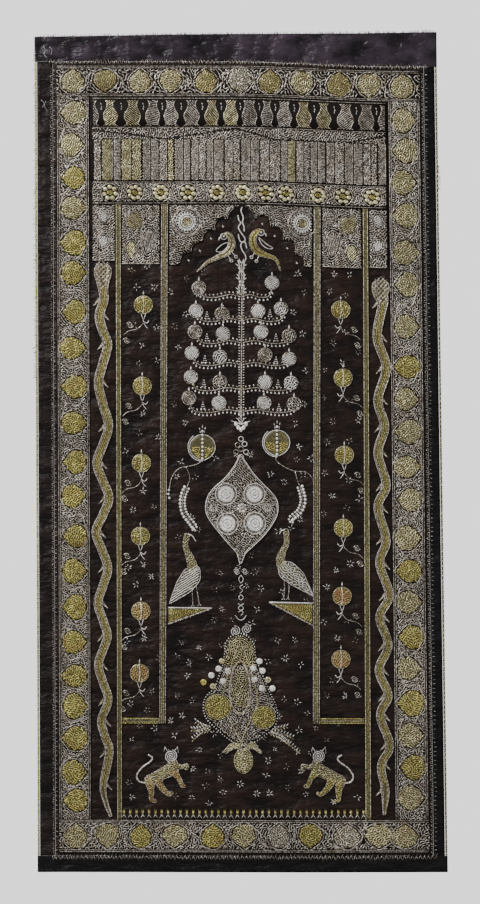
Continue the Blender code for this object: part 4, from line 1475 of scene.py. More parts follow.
@dataclass
class Serpents:
    """Two long serpents with a checked hood, couched across on both sides of a gold line."""

    left_line: tuple[tuple[float, float], ...] = (
        (103, 264), (103, 285), (104, 300), (99.5, 316), (103, 331), (107.8, 345), (103, 364), (98.6, 383),
        (103, 404),
        (108.7, 426), (103, 445), (97, 463), (103, 481), (109, 498), (103, 515), (96, 532), (102, 550),
        (107.9, 568),
        (103, 586), (98, 603), (103, 620), (107.4, 636), (103, 650), (98.4, 665), (103, 682), (108.3, 700),
        (101.5, 720), (105, 736), (109.4, 752), (103.3, 785), (106, 802), (111, 816))
    right_line: tuple[tuple[float, float], ...] = (
        (380.5, 280), (380.5, 295), (382.5, 304), (377, 337), (386, 368), (377.8, 400), (384.5, 427),
        (377.8, 453),
        (386, 485), (377.8, 507), (386, 540), (379.5, 563), (389, 595), (379.5, 617), (388, 645),
        (378.7, 670),
        (388, 695), (380, 715), (389.5, 745), (381, 765), (385, 790), (384, 814))

    girth_at: tuple[float, ...] = (0, 9, 24, 42, 62, 1180)
    girths: tuple[float, ...] = (10, 20, 21, 15, 11.2, 10.0, 4.0)

    def build(self) -> None:
        """Models both serpents."""
        for side, line in (("left", self.left_line), ("right", self.right_line)):
            work = Work(hung=True)
            path = curve(seen(*line), 5.0)
            run = path[:, 1] - path[0, 1]
            half = np.interp(run, (*self.girth_at, run[-1]), self.girths)
            work.cord(path, 2 * half, 2.6, LAID, Finish.PADDING, profile=ROUNDED)
            across = tangents(path)[1]
            for sign in (-1, 1):
                rail = path + across * (sign * (half - 1.4))[:, None]
                work.cord(rail, 2.3, 1.5, LAID + 1.2, Finish.SILVER, profile=ROUNDED)
            for shift in (-1.9, 1.9):
                work.cord((path + across * shift)[10:-14], 1.9, 1.5, LAID + 2.4, Finish.GOLD)
            hood = Figure(((path[:10], half[:10] - 2.5),))
            for slant in (48, -48):
                work.maze(hood.box(), rows(slant, 7.4), lambda x, d: hood.ratio(x, d) < 1, LAID + 2.2,
                          Finish.SILVER,
                          2.0, 1.7, 1.5)
            fine = curve(path, 3.3)
            width = np.interp(fine[:, 1] - fine[0, 1], run, half)
            slope, out = tangents(fine)
            for sign in (-1, 1):
                inner = fine + out * (sign * width * 0.24)[:, None] - slope * 1.1
                outer = fine + out * (sign * (width - 1.9))[:, None] + slope * 1.1
                work.stitches(inner, outer, 2.7, 1.1, LAID + 2.0,
                              Finish.STRAW if sign < 0 else Finish.SILVER)
            self.spurs(work, seen(*line), path, half)
            work.piece(f"serpent_{side}_work", "gold_thread", f"serpent_{side}", fill=0.6)

    def spurs(self, work: Work, turns: Places, path: Places, half: np.ndarray) -> None:
        """A small pointed fin on the inner side of each bend."""
        for before, at, after in zip(turns, turns[1:], turns[2:]):
            if (at[0] - before[0]) * (after[0] - at[0]) >= 0:
                continue
            sign = 1.0 if at[0] < before[0] else -1.0
            k = int(np.argmin(np.abs(path[:, 1] - at[1] - 6.0)))
            root = path[k] + np.array((sign * (half[k] - 2), 0.0))
            fin = curve(root + np.array(((0.0, -9.0), (sign * 6.0, -1.0), (sign * 14.0, 7.0))), 2.5)
            work.cord(fin, np.linspace(10.0, 2.0, len(fin)), 1.2, LAID, Finish.PADDING, profile=ROUNDED)
            for shift in (-4.0, 0.0, 3.6):
                edge = fin + np.column_stack((np.zeros(len(fin)), np.linspace(shift, 0, len(fin))))
                work.cord(edge, 1.7, 1.6, LAID + 0.3, Finish.SILVER)


def disc(work: Work, x: float, depth: float, radius: float, fill: Finish, rim: Finish, base: float = LAID,
         height: float = 2.2, seed: int = 1, plan: Field | None = None) -> None:
    """A padded round with a couched rim and a threaded face."""
    shape = Round(x, depth, radius, radius * 0.97)
    work.dome(shape, base, height, Finish.PADDING if fill in (Finish.GOLD, Finish.COPPER) else Finish.GROUND,
              22, 3)
    work.maze(around(x, depth, radius), plan or meander(seed, 4.2), lambda a, b: shape.ratio(a, b) < 0.88,
              shape.dome(base - 0.1, height),
              fill, 1.9, 2.5, 1.1)
    work.cord(shape.outline(26, 0.96), 2.2, 1.5, base + 0.2, rim, True)


@dataclass
class Pomegranates:
    """The small pomegranates between the pillars, each with a stem and two coiled buds."""

    left: tuple[tuple[float, float], ...] = ((143.5, 305), (142.4, 386), (141.5, 463), (140.5, 536),
                                             (141, 611),
                                             (139.5, 673))
    right: tuple[tuple[float, float], ...] = ((340.6, 310), (343, 378), (344.2, 455), (343.3, 528),
                                              (342, 596),
                                              (340.8, 659))
    radius: float = 22.0
    copper: tuple[int, ...] = (4, 5, 10, 11)

    def build(self) -> None:
        """Models the twelve."""
        for k, at in enumerate(self.left + self.right):
            work = Work(hung=True)
            x, depth = seen(at)[0]
            sign = -1 if k < 6 else 1
            metal = Finish.COPPER if k in self.copper else Finish.GOLD
            disc(work, x, depth, self.radius, metal, Finish.STRAW, seed=300 + k, height=3.0)
            split = curve(np.array(((x - 1, depth - 20), (x + 1, depth), (x - 1, depth + 20))), 5)
            work.cord(split, 2.4, 1.5, LAID + 2.4, Finish.WHITE)
            work.stitches(((x, depth - 33),), ((x, depth - 20),), 3.6, 1.6, LAID, Finish.WHITE)
            self.stem(work, x, depth, sign)
            work.piece(f"pomegranate_{k + 1:02d}_work", "gold_thread", f"pomegranate_{k + 1:02d}", fill=0.7)

    def stem(self, work: Work, x: float, depth: float, sign: int) -> None:
        """The stem under a pomegranate: a forked leaf and a vine to the pillar with two coiled buds."""
        base = ON_GROUND
        vee = ((x - 5, depth + 21), (x, depth + 34), (x + 5, depth + 21))
        work.cord(curve(np.array(vee), 3), 1.7, 1.6, base, Finish.WHITE)
        vine = curve(np.array(((x, depth + 34), (x + sign * 2, depth + 44), (x + sign * 14, depth + 55),
                               (x + sign * 34, depth + 60), (x + sign * 46, depth + 70))), 3.5)
        work.cord(vine, 1.7, 1.6, base, Finish.SILVER)
        leaf = curve(np.array(((x, depth + 38), (x - sign * 8, depth + 42), (x - sign * 13, depth + 36))), 3)
        work.cord(leaf, 2.1, 1.7, base, Finish.WHITE)
        fork = curve(np.array(((x - sign * 1, depth + 42), (x - sign * 6, depth + 50),
                               (x - sign * 10, depth + 54))), 3)
        work.cord(fork, 1.8, 1.7, base, Finish.WHITE)
        for dx, dd in ((sign * 31, 46), (sign * 39, 82)):
            cx, cd = x + dx, depth + dd
            work.maze(around(cx, cd, 9), coil(cx, cd, 4.0),
                      lambda a, b, cx=cx, cd=cd: np.hypot(a - cx, b - cd) < 7.8, base, Finish.SILVER, 1.5,
                      2.1, 1.8)


@dataclass
class FruitTree:
    """The tree: a leafy spire, a trunk, six pairs of branches, round fruits and small cones."""

    discs: tuple[tuple[float, float], ...] = (
        (199, 288), (272, 283), (196, 311), (222, 314), (258, 311), (281, 309), (195, 332), (223, 334),
        (261, 332),
        (289, 336), (192, 353), (220, 357), (265, 355), (289, 359), (191, 377), (220, 382), (265, 382),
        (291, 383),
        (189, 398), (219, 403), (264, 403), (294, 404))
    tiers: tuple[tuple[float, float, float], ...] = (
        (297, 199, 272), (321, 197, 284), (343, 197, 291), (365, 193, 291), (390, 192, 294), (412, 190, 296))
    cones: tuple[tuple[float, float], ...] = (
        (207, 316), (270, 314), (207, 338), (276, 338), (205, 360), (276, 361), (204, 384), (278, 384),
        (203, 406),
        (279, 408))
    trunk: float = 241.5

    def build(self) -> None:
        """Models the tree."""
        work = Work(hung=True)
        stem = curve(seen((self.trunk, 264), (self.trunk + 0.5, 300), (self.trunk, 360),
                          (self.trunk - 0.5, 422)), 6)
        work.cord(stem, 3.4, 2.2, LAID, Finish.SILVER, profile=ROUNDED)
        depth = np.arange(*(seen((0, 292), (0, 420))[:, 1]), 6.2)
        x0 = (self.trunk - MIDDLE_PIXEL) * PIXEL
        for sign in (-1, 1):
            root = level_with(x0 + sign * 1.6, depth)
            work.stitches(root, root + (sign * 6.2, -1.6), 3.0, 1.8, 1.3, Finish.WHITE)
        self.spire(work, x0)
        for row, left, right in self.tiers:
            for end in (left, right):
                self.branch(work, row, end)
        for k, at in enumerate(self.discs):
            x, d = seen(at)[0]
            disc(work, x, d, 16.6, Finish.WHITE if k % 3 else Finish.SILVER, Finish.SILVER, seed=400 + k,
                 plan=rows(30 * k, 3.5, 0.9) if k % 3 == 1 else None if k % 2 else coil(x, d, 3.5))
            work.stitches(((x, d - 26),), ((x, d - 13),), 5.0, 2.0, 1.4, Finish.WHITE)
        for at in self.cones:
            x, d = seen(at)[0]
            for k in range(4):
                half, level = 1.0 + 1.8 * k, d - 10 + 5 * k
                work.stitches(((x, level + 3), (x, level + 3)), ((x - half, level), (x + half, level)), 3.0,
                              1.6, 1.4,
                              Finish.WHITE)
        work.piece("fruit_tree_work", "silver_thread", "fruit_tree")

    def spire(self, work: Work, x0: float) -> None:
        """Leaves in pairs up the head of the trunk."""
        for k, row in enumerate(np.arange(262, 294, 3.4)):
            d = (row - TOP_PIXEL) * PIXEL
            reach = 10 + 5 * math.sin(1.7 * k)
            for sign in (-1, 1):
                start = (x0 + sign * 2, d + 5)
                ends = ((x0 + sign * reach, d - 4), (x0 + sign * reach * 0.6, d - 9))
                work.stitches((start, start), ends, 3.2, 2.0, 1.4, Finish.WHITE)

    def branch(self, work: Work, row: float, end: float) -> None:
        """A branch fringed with small leaves."""
        sign = 1 if end > self.trunk else -1
        run = abs(end - self.trunk)
        turns = ((0.0, 0.0), (0.28, -2.2), (0.6, 0.6), (0.88, -0.4))
        path = seen(*((self.trunk + sign * run * share, row + rise) for share, rise in turns),
                    (end, row - 6))
        line = curve(path, 4.0)
        work.cord(line, 2.3, 1.8, 1.4, Finish.SILVER)
        for shift, first in ((-6.0, 0), (6.4, 1)):
            spots = curve(path, 4.6)[first::2]
            tips = spots + np.array((sign * 1.2, shift))
            work.stitches(spots, tips, 1.8, 1.5, 1.3, Finish.SILVER)
            work.beads(tips, 2.3, 1.9, 1.2, Finish.WHITE if shift > 0 else Finish.SILVER)


@dataclass
class Medallion:
    """The pointed medallion with four bright flowers."""

    outline: tuple[tuple[float, float], ...] = (
        (240, 455), (245.5, 461), (253, 472), (262, 482), (270.5, 490.5), (277, 499), (278.6, 509),
        (276, 519),
        (266, 534), (253, 547), (245.5, 554), (240.5, 564.5), (236.7, 553.6), (229, 545), (218, 532),
        (208.4, 519),
        (205, 509), (207, 497), (213, 488), (222.6, 479.5), (231.3, 469.7), (236.7, 461))
    flowers: tuple[tuple[float, float], ...] = ((226, 494), (254.5, 494), (227.5, 523.5), (255, 523))

    def build(self) -> None:
        """Models the medallion and its flowers."""
        centre = np.array((2.0, seen((0, 508))[0, 1]))
        shape = Contour(seen(*self.outline), 5.0, centre)
        work = Work(hung=True)
        work.mound(shape.ring, LAID, 1.5, Finish.GROUND, False, 6)
        flowers = [Round(*seen(at)[0], 24.0, 24.0) for at in self.flowers]
        front = LAID + 1.5
        work.maze((-86, 90, 960, 1225), echo(meander(91, 4.3), flowers, 4.3, 1.2),
                  both(shape.inside(7.5), outside(flowers, 1.4)), front, Finish.SILVER, 2.0, 2.6, 1.3)
        for sign in (-1, 1):
            hub = np.array((2.0 + sign * 62, centre[1]))
            way = wheel(11)
            work.stitches(hub + way * 2, hub + way * 13, 2.2, 2.2, front, Finish.WHITE)
        for shrink, kind in ((1.4, Finish.WHITE), (5.0, Finish.SILVER)):
            line = centre + (shape.ring - centre) * (1 - shrink / shape.reach)[:, None]
            work.cord(line, 2.4, 1.6, front, kind, True)
        for flower in flowers:
            work.cord(flower.outline(36, 1.0), 2.0, 1.6, front, Finish.WHITE, True)
            work.cord(flower.outline(32, 0.86), 1.6, 1.2, front, Finish.SILVER, True)
        heart = seen((242, 508))[0]
        rosette(work, heart[0], heart[1], 12.0, front, Finish.WHITE, 7)
        work.piece("medallion_work", "silver_thread", "medallion")
        for k, flower in enumerate(flowers):
            bloom = Work(hung=True)
            at = np.array((flower.x, flower.depth))
            bloom.dome(Round(*at, 18.5, 18.5), front + 0.3, 1.4, Finish.WHITE, 28, 3)
            for count, start, stop, width in ((22, 12.4, 17.0, 3.2), (9, 4.6, 8.8, 3.4)):
                way = wheel(count)
                bloom.stitches(at + way * start, at + way * stop, width, 1.9, front + 0.9, Finish.WHITE)
            for radius, kind in ((3.6, Finish.SOOT), (10.4, Finish.SOOT), (17.8, Finish.WHITE)):
                bloom.cord(Round(*at, radius, radius).outline(30), 1.7, 1.6, front + 0.9, kind, True)
            bloom.beads(at, 2.4, 1.6, front + 1.2, Finish.WHITE, 9)
            bloom.piece(f"medallion_rosette_{k + 1}_work", "silver_thread", f"medallion_rosette_{k + 1}",
                        fill=0.5)


@dataclass
class GreatPomegranates:
    """The two large pomegranates beside the medallion, with stems and bead tassels."""

    fruits: tuple[tuple[float, float], ...] = ((202.5, 447), (277, 442.5))
    stems: tuple[tuple[tuple[float, float], ...], ...] = (
        ((202.5, 460), (197.5, 464), (188, 466.4), (179, 468.6), (172, 477), (169, 490)),
        ((277, 455), (276, 460), (283.6, 466.4), (294.5, 471), (305.4, 472), (312, 478), (314.5, 488)))
    tassels: tuple[tuple[tuple[float, float], ...], ...] = (
        ((186, 466.5), (189.9, 477), (187.5, 486), (184, 494), (182.5, 503), (184.5, 513), (190, 521),
         (194, 526)),
        ((295, 471.5), (297.8, 481.7), (301, 490), (303, 501), (299.5, 511), (291.5, 518)))

    def build(self) -> None:
        """Models both."""
        for side, at, stem, tassel in zip(("left", "right"), self.fruits, self.stems, self.tassels):
            work = Work(hung=True)
            x, d = seen(at)[0]
            shape = Round(x, d, 30.0, 29.0, 0.1, 90)
            work.dome(shape, LAID, 3.2, Finish.PADDING, 28, 4)
            work.maze(around(x, d, 34), meander(600 + int(at[0]), 4.3),
                      lambda a, b: (shape.ratio(a, b) < 0.86) & (np.abs(a - x) > 6.0) & (b > d),
                      shape.dome(LAID - 0.1, 3.2), Finish.GOLD, 1.8, 2.6, 1.1)
            work.cord(shape.outline(36, 0.98), 1.9, 1.5, LAID + 0.2, Finish.WHITE, True)
            crescent = np.array([(x - 33 * math.cos(a), d + 33 * math.sin(a)) for a in np.linspace(-0.9, 1.6,
                                                                                                   18)])
            work.cord(crescent, 2.4, 2.0, 1.4, Finish.WHITE)
            work.beads(level_with(x, np.linspace(d - 36, d + 27, 8)), 3.4, 2.6, LAID + 2.4, Finish.WHITE, 7)
            for dx, rise in ((-7, 15), (0, 22), (7, 17)):
                work.stitches(((x + dx * 0.5, d - 30), (x + dx * 0.8, d - 30 - rise / 2)),
                              ((x + dx * 0.8, d - 30 - rise / 2), (x + dx, d - 30 - rise)), 2.8, 1.8, 1.4,
                              Finish.WHITE)
            work.cord(curve(seen(*stem), 4), 2.3, 1.8, 1.4, Finish.SILVER)
            line = curve(seen(*tassel), 7.6)
            work.cord(line, 1.9, 1.6, 1.4, Finish.SILVER)
            side_way = tangents(line)[1]
            first = len(line) // 3
            for sign in (-1, 1):
                size = 3.9 if (sign < 0) == (side == "right") else 3.2
                work.beads((line + side_way * sign * 5.2)[first:], size, 2.6, 1.3, Finish.WHITE, 7)
            end = line[-1] + np.array(((0, 6), (-6, 3), (6, 2), (3, 10), (-3, 9)))
            work.beads(end, 2.8, 2.2, 1.3, Finish.WHITE, 7)
            joint = seen(stem[-1])[0]
            work.beads((joint, joint + (-1, 9), joint + (1, 18)), 3.2, 2.2, 1.4, Finish.WHITE, 7)
            work.piece(f"great_pomegranate_{side}_work", "gold_thread", f"great_pomegranate_{side}",
                       fill=0.7)


@dataclass
class Bouquet:
    """The spray of small discs and leaves with two gold fruits, and the bud below it."""

    outline: tuple[tuple[float, float], ...] = (
        (240, 634), (249, 638), (254, 646), (255, 656), (259, 668), (264, 680), (269, 692), (274, 702),
        (277, 714),
        (274, 726), (265, 734), (256, 740), (248, 743), (242, 745), (235, 742), (226, 736), (217, 728),
        (207, 718),
        (204, 706), (207, 696), (215, 688), (219, 678), (223, 666), (225, 654), (226, 644), (231, 637))
    discs: tuple[tuple[float, float], ...] = (
        (222, 661), (218.5, 668.5), (228, 671), (211.5, 675), (223, 681), (213, 686), (259.5, 661),
        (253, 668),
        (262.5, 670.5), (254.5, 679), (268, 679.5), (262, 688), (272.5, 688))
    fruits: tuple[tuple[float, float, float], ...] = ((218, 706.5, 31.0), (263.5, 717, 28.0))
    sprigs: tuple[tuple[tuple[float, float], ...], ...] = (
        ((211, 728), (203, 725), (197, 721)), ((209, 730), (201, 733), (194, 739)),
        ((207, 727), (200, 729), (193, 729)),
        ((268, 730), (277, 728), (286, 726)), ((270, 733), (280, 737), (287, 743)),
        ((271, 731), (282, 733), (292, 737)),
        ((276, 735), (286, 741), (296, 750)))

    def build(self) -> None:
        """Models the bouquet, its fruits and the bud."""
        shape = Contour(seen(*self.outline), 6.0)
        front = LAID + 1.4
        work = Work(hung=True)
        work.mound(shape.ring, LAID, 1.4, Finish.GROUND, False, 6)
        almond = Round(*seen((240, 691))[0], 24.0, 52.0, 0.35, -90)
        head = Round(*seen((240, 652))[0], 24.0, 30.0)
        fruits = [Round(*seen(fruit[:2])[0], fruit[2], fruit[2]) for fruit in self.fruits]

        plan = echo(meander(95, 4.3), [almond, head, *fruits], 4.3, 2.0)
        core = lambda x, d: almond.ratio(x, d) < 0.75
        upper = lambda x, d: ~core(x, d) & (d < head.depth + 30)
        lower = lambda x, d: ~core(x, d) & (d >= head.depth + 30)
        for part, finish, width, height in ((upper, Finish.STRAW, 2.6, 1.3),
                                            (lower, Finish.SILVER, 2.5, 1.3),
                                            (core, Finish.STRAW, 2.6, 1.4)):
            where = both(shape.inside(3.0), outside(fruits, 1.6), part)
            work.maze((-90, 95, 1375, 1650), plan, where, front, finish, 1.9, width, height)
        work.cord(almond.outline(60), 2.6, 2.2, front, Finish.STRAW, True)
        for sign in (-1, 1):
            fold = seen((240 + sign * 2, 645), (240 + sign * 8, 662), (240 + sign * 15, 685),
                        (240 + sign * 17, 704),
                        (240 + sign * 9, 722), (241, 742))
            work.cord(curve(fold, 5.0), 2.4, 2.0, front, Finish.STRAW)
            leaf = Figure.of((seen((242.5, 744), (242 + sign * 10, 745), (242.5 + sign * 19.5, 752)),
                              (2.0, 4.6, 1.2)))
            work.figure(leaf, 1.8, Finish.PADDING, rows(20 * sign, 3.6, 0.4), Finish.STRAW, Finish.SILVER)
        spots = curve(shape.ring, 6.4, closed=True)
        out = spots - shape.centre
        out /= np.linalg.norm(out, axis=1, keepdims=True)
        work.stitches(spots - out * 2.0, spots + out * 4.5, 3.4, 2.0, LAID, Finish.WHITE)
        for k, (column, row) in enumerate(self.discs):
            x, d = seen((column, row))[0]
            work.mound(Round(x, d, 7.2, 7.0).outline(14), LAID, 2.2, Finish.WHITE if k % 5 else Finish.STRAW,
                       False, 2)
        work.mound(Round(*seen((203.5, 682))[0], 7.2, 7.2).outline(14), LAID, 2.2, Finish.GOLD, False, 2)
        for sprig in self.sprigs:
            line = curve(seen(*sprig), 7.0)
            work.cord(line, 1.6, 1.4, 1.3, Finish.SILVER)
            for sign in (-1, 1):
                work.stitches(line, line + np.array((np.sign(line[-1, 0]) * 6.0, sign * 7.5)), 3.2, 1.8, 1.3,
                              Finish.WHITE if sign < 0 else Finish.STRAW)
        work.piece("bouquet_work", "silver_thread", "bouquet")
        for side, fruit in zip(("left", "right"), fruits):
            bloom = Work(hung=True)
            disc(bloom, fruit.x, fruit.depth, fruit.across, Finish.GOLD, Finish.STRAW, front + 0.3, 3.0,
                 700 + int(fruit.x))
            bloom.piece(f"bouquet_fruit_{side}_work", "gold_thread", f"bouquet_fruit_{side}", fill=0.6)
        self.bud()

    def bud(self) -> None:
        """Models the bud."""
        work = Work(hung=True)
        x, d = seen((243.5, 760))[0]
        shape = Round(x, d, 21.0, 27.0, 0.1, 90)
        work.dome(shape, LAID, 3.0, Finish.PADDING)
        work.maze((x - 30, x + 30, d - 32, d + 34), meander(720, 4.6), lambda a, b: shape.ratio(a, b) < 0.93,
                  shape.dome(LAID - 0.1, 3.0), Finish.STRAW, 1.8, 2.5, 1.3)
        work.cord(shape.outline(30, 1.02), 1.8, 1.4, LAID, Finish.STRAW, True)
        for sign in (-1, 1):
            for lift_by, reach in ((6.0, 40), (-10.0, 34)):
                leaf = Figure.of((((x + sign * 3, d - 25), (x + sign * reach * 0.55, d - 34 + lift_by * 0.5),
                                   (x + sign * reach, d - 22 + lift_by)), (2.2, 4.4, 1.0)))
                work.figure(leaf, 1.8, Finish.PADDING, rows(20 * sign, 3.2, 0.4), Finish.STRAW,
                            Finish.SILVER)
        work.piece("bud_work", "gold_thread", "bud", fill=0.7)


@dataclass
class Creatures:
    """Small birds under the arch, cranes on their brackets, and lions."""

    def build(self) -> None:
        """Models every creature and bracket."""
        self.arch_birds()
        self.crane("left")
        self.crane("right")
        self.bracket("left", ((168, 607.5), (212, 608)), (168, 624))
        self.bracket("right", ((312.5, 603), (269, 602)), (312.5, 625))
        self.lion("left", seen((171.2, 755.7))[0], 1)
        self.lion("right", seen((318.6, 755.7))[0], -1)

    def arch_birds(self) -> None:
        """Two birds that face each other under the arch."""
        shapes = {
            "left": (((222.5, 235.5), (228, 235), (231.5, 240), (231, 247), (227, 252.5), (219, 257),
                      (208, 262.5),
                      (197.5, 271.5)), (4, 6, 7, 8.5, 8, 5.5, 3.5, 1.2),
                     ((228, 243), (222, 245), (216, 251), (222, 252), (228, 247)),
                     ((230.5, 251), (236, 257)),
                     ((226, 253), (231.5, 261)), Finish.STRAW),
            "right": (((262.5, 231.5), (257, 232), (253, 238), (253.5, 246), (258, 252), (266, 255.5),
                       (275.5, 259.5),
                       (280.5, 271)), (4, 6, 8, 8.5, 8, 5.5, 3.5, 1.2),
                      ((259, 238), (262, 245), (268, 249), (273, 248.5), (266, 244)),
                      ((255.5, 252), (251.5, 257.5)),
                      ((260, 254), (256.5, 261.5)), Finish.GOLD),
        }
        for side, (line, halves, wing, leg, other, gold) in shapes.items():
            work = Work(hung=True)
            body = Figure.of((seen(*line), halves))
            bands = lambda x, d, b=body: np.sin(np.pi * b.ratio(x, d) * 3.1)
            work.figure(body, 2.6, Finish.PADDING, bands, gold, Finish.SILVER)
            head = seen(line[0])[0] + np.array((3.0 if side == "left" else -3.0, 3.0))
            work.dome(Round(*head, 7.5, 7.5), LAID + 0.4, 2.8, Finish.SOOT, 16, 3)
            work.cord(Round(*head, 7.0, 7.0).outline(16), 1.9, 1.5, LAID + 1.2, Finish.WHITE, True)
            work.beads(head, 2.2, 1.3, LAID + 2.9, Finish.WHITE)
            work.cord(curve(seen(*wing), 3, closed=True), 2.0, 1.6, LAID + 0.6, Finish.WHITE, True)
            for foot in (leg, other):
                work.cord(curve(seen(*foot), 3), 2.0, 1.6, LAID, Finish.WHITE)
                work.cord(Round(*seen(foot[1])[0], 3.4, 3.4).outline(10), 1.8, 1.6, LAID, Finish.WHITE, True)
            hook = np.array(((4, 0), (10, 3), (11, 9))) * ((-1, 1) if side == "left" else (1, 1))
            work.cord(curve(head + hook, 3.0), 3.0, 1.8, LAID, Finish.WHITE)
            work.piece(f"arch_bird_{side}_work", "silver_thread", f"arch_bird_{side}", fill=0.6)

    def crane(self, side: str) -> None:
        """A crane: a hooked beak, a long neck, a striped body and two legs."""
        work = Work(hung=True)
        left = side == "left"
        body = Figure.of((seen(*(((194.5, 571), (191, 577), (185, 585), (177.5, 594),
                                  (170, 603)) if left else
                                 ((284, 566.5), (288, 571), (296, 577.5), (304, 586), (313, 595.5)))),
                          (13, 22, 20, 11, 1.2)))
        neck = Figure.of((seen(*(((187, 536), (185.5, 545), (188, 553), (191.5, 562),
                                  (193, 570)) if left else
                                 ((286, 531.5), (286.5, 543), (282.5, 552), (280.5, 560), (283, 568)))),
                          (6.5, 5.5, 7.0, 10.0, 12.0)))
        work.figure(neck, 2.6, Finish.PADDING, meander(811, 4.2), Finish.STRAW, Finish.SILVER)
        if left:
            work.figure(body, 2.9, Finish.PADDING, rows(-32, 4.6, 0.5), Finish.WHITE, Finish.WHITE)
        else:
            mixed = lambda x, d: rows(38, 4.7, 1.6)(x, d) + 0.7 * meander(812, 4.7)(x, d)
            work.figure(body, 2.9, Finish.PADDING, mixed, Finish.WHITE, Finish.WHITE)
        beak = ((188, 534), (192.5, 536), (196, 541.5)) if left else ((285, 530), (281.5, 530.5),
                                                                      (279.5, 534))
        line = curve(seen(*beak), 2.5)
        work.cord(line, np.linspace(5, 1.6, len(line)), 2.0, LAID + 0.4, Finish.WHITE)
        legs = (((192, 586), (192.6, 596), (193, 606)), ((196, 585), (198, 596), (199.5, 605)))
        if not left:
            legs = (((284, 579), (284.5, 589), (283.4, 599)), ((288.5, 580), (289, 589), (288, 599)))
        for leg in legs:
            shin = seen(*leg)
            work.cord(curve(shin, 3), 2.6, 1.8, LAID, Finish.SILVER)
            for dx in (-5, 5):
                work.stitches((shin[-1] - (0, 2),), (shin[-1] + (dx, 2),), 2.2, 1.5, LAID, Finish.WHITE)
        work.piece(f"crane_{side}_work", "silver_thread", f"crane_{side}", fill=0.6)

    def bracket(self, side: str, top: Sequence[Sequence[float]], low: Sequence[float]) -> None:
        """A wedge that carries a crane: gold fill under a bright line, with a twisted lower edge."""
        work = Work(hung=True)
        root, tip = seen(*top)
        deep = seen(low)[0]
        ring = np.array((root, tip, deep)) if tip[0] > root[0] else np.array((root, deep, tip))
        work.mound(ring, LAID, 1.4, Finish.PADDING, False, 3)
        low_edge = lambda x: np.interp((x - root[0]) / (tip[0] - root[0]), (0, 1), (deep[1], tip[1]))
        x0, x1 = sorted((root[0], tip[0]))
        work.maze((x0, x1, root[1], deep[1]), meander(800, 3.8),
                  lambda x, d: (d > root[1] + 3) & (d < low_edge(x) - 4) & (x > x0 + 1) & (x < x1 - 1),
                  LAID + 1.4,
                  Finish.GOLD, 1.9, 2.3, 1.0)
        work.cord(np.linspace(root, tip, 8), 3.0, 2.0, LAID + 0.6, Finish.WHITE, profile=ROUNDED)
        for shift in (-1.6, 1.6):
            line = np.linspace(deep, tip, 30)
            line[:, 1] += shift * np.cos(np.arange(30) * 1.3)
            work.cord(line, 2.4, 1.8, LAID + 0.6, Finish.SILVER)
        work.piece(f"bracket_{side}_work", "gold_thread", f"bracket_{side}")

    def lion(self, side: str, face: Places, sign: int) -> None:
        """A striding lion with a raised forepaw, a ruffed head and a curled tail, drawn from its face."""
        work = Work(hung=True)
        place = lambda *points: np.array([(face[0] + sign * a, face[1] + b) for a, b in points])
        trunk = Figure.of(
            (place((-49, 56), (-36, 50), (-18, 40), (2, 30)), (12.5, 12.5, 13, 14.5)),
            (place((4, 32), (4, 18), (1, 8)), (13, 11, 9)),
            (place((8, 22), (24, 25), (36, 22), (35, 29)), (7, 4.4, 4.2, 3.4)))
        legs = Figure.of(
            (place((8, 38), (18, 52), (25, 67), (31, 69)), (8, 5, 4.4, 3.2)),
            (place((-50, 58), (-46, 78), (-45, 99), (-36, 104)), (11, 6.6, 4.4, 3.4)),
            (place((-30, 56), (-20, 74), (-6, 87), (2, 85)), (9, 6.6, 4.4, 3.2)))
        tail = place((-58, 62), (-74, 58), (-79, 44), (-66, 26), (-49, 14), (-43, 4), (-53, -3))
        work.cord(curve(tail, 3.0), 4.6, 2.2, LAID, Finish.SILVER, profile=ROUNDED)
        work.cord(curve(tail, 3.0), 1.6, 1.4, LAID + 1.8, Finish.WHITE)
        work.figure(legs, 2.6, Finish.PADDING, meander(860 + sign, 4.0),
                    Finish.COPPER if sign > 0 else Finish.GOLD,
                    Finish.SILVER)
        work.figure(trunk, 2.8, Finish.PADDING, meander(850 + sign, 4.2), Finish.STRAW, Finish.SILVER)
        x, d = face
        ruff = Round(x, d, 16.0, 15.5)
        work.dome(ruff, LAID + 0.3, 3.4, Finish.SOOT, 22, 3)
        work.maze(around(x, d, 19), coil(x, d, 4.2), lambda a, b: ruff.ratio(a, b) < 0.96,
                  ruff.dome(LAID + 0.1, 3.4), Finish.WHITE, 1.6, 2.0, 1.1)
        for dx in (-11, 11):
            ear = np.array(((x + dx - 5, d - 10), (x + dx * 1.35, d - 21), (x + dx + 5, d - 7)))
            work.cord(ear, 2.4, 1.8, LAID, Finish.WHITE)
        marks = np.array(((x - 6, d - 3), (x + 6, d - 3), (x, d + 3)))
        work.beads(marks, 2.4, 1.4, LAID + 3.0, Finish.SOOT)
        work.stitches(((x - 5, d + 9),), ((x + 5, d + 9),), 2.4, 1.2, LAID + 2.8, Finish.SOOT)
        work.piece(f"lion_{side}_work", "gold_thread", f"lion_{side}", fill=0.6)


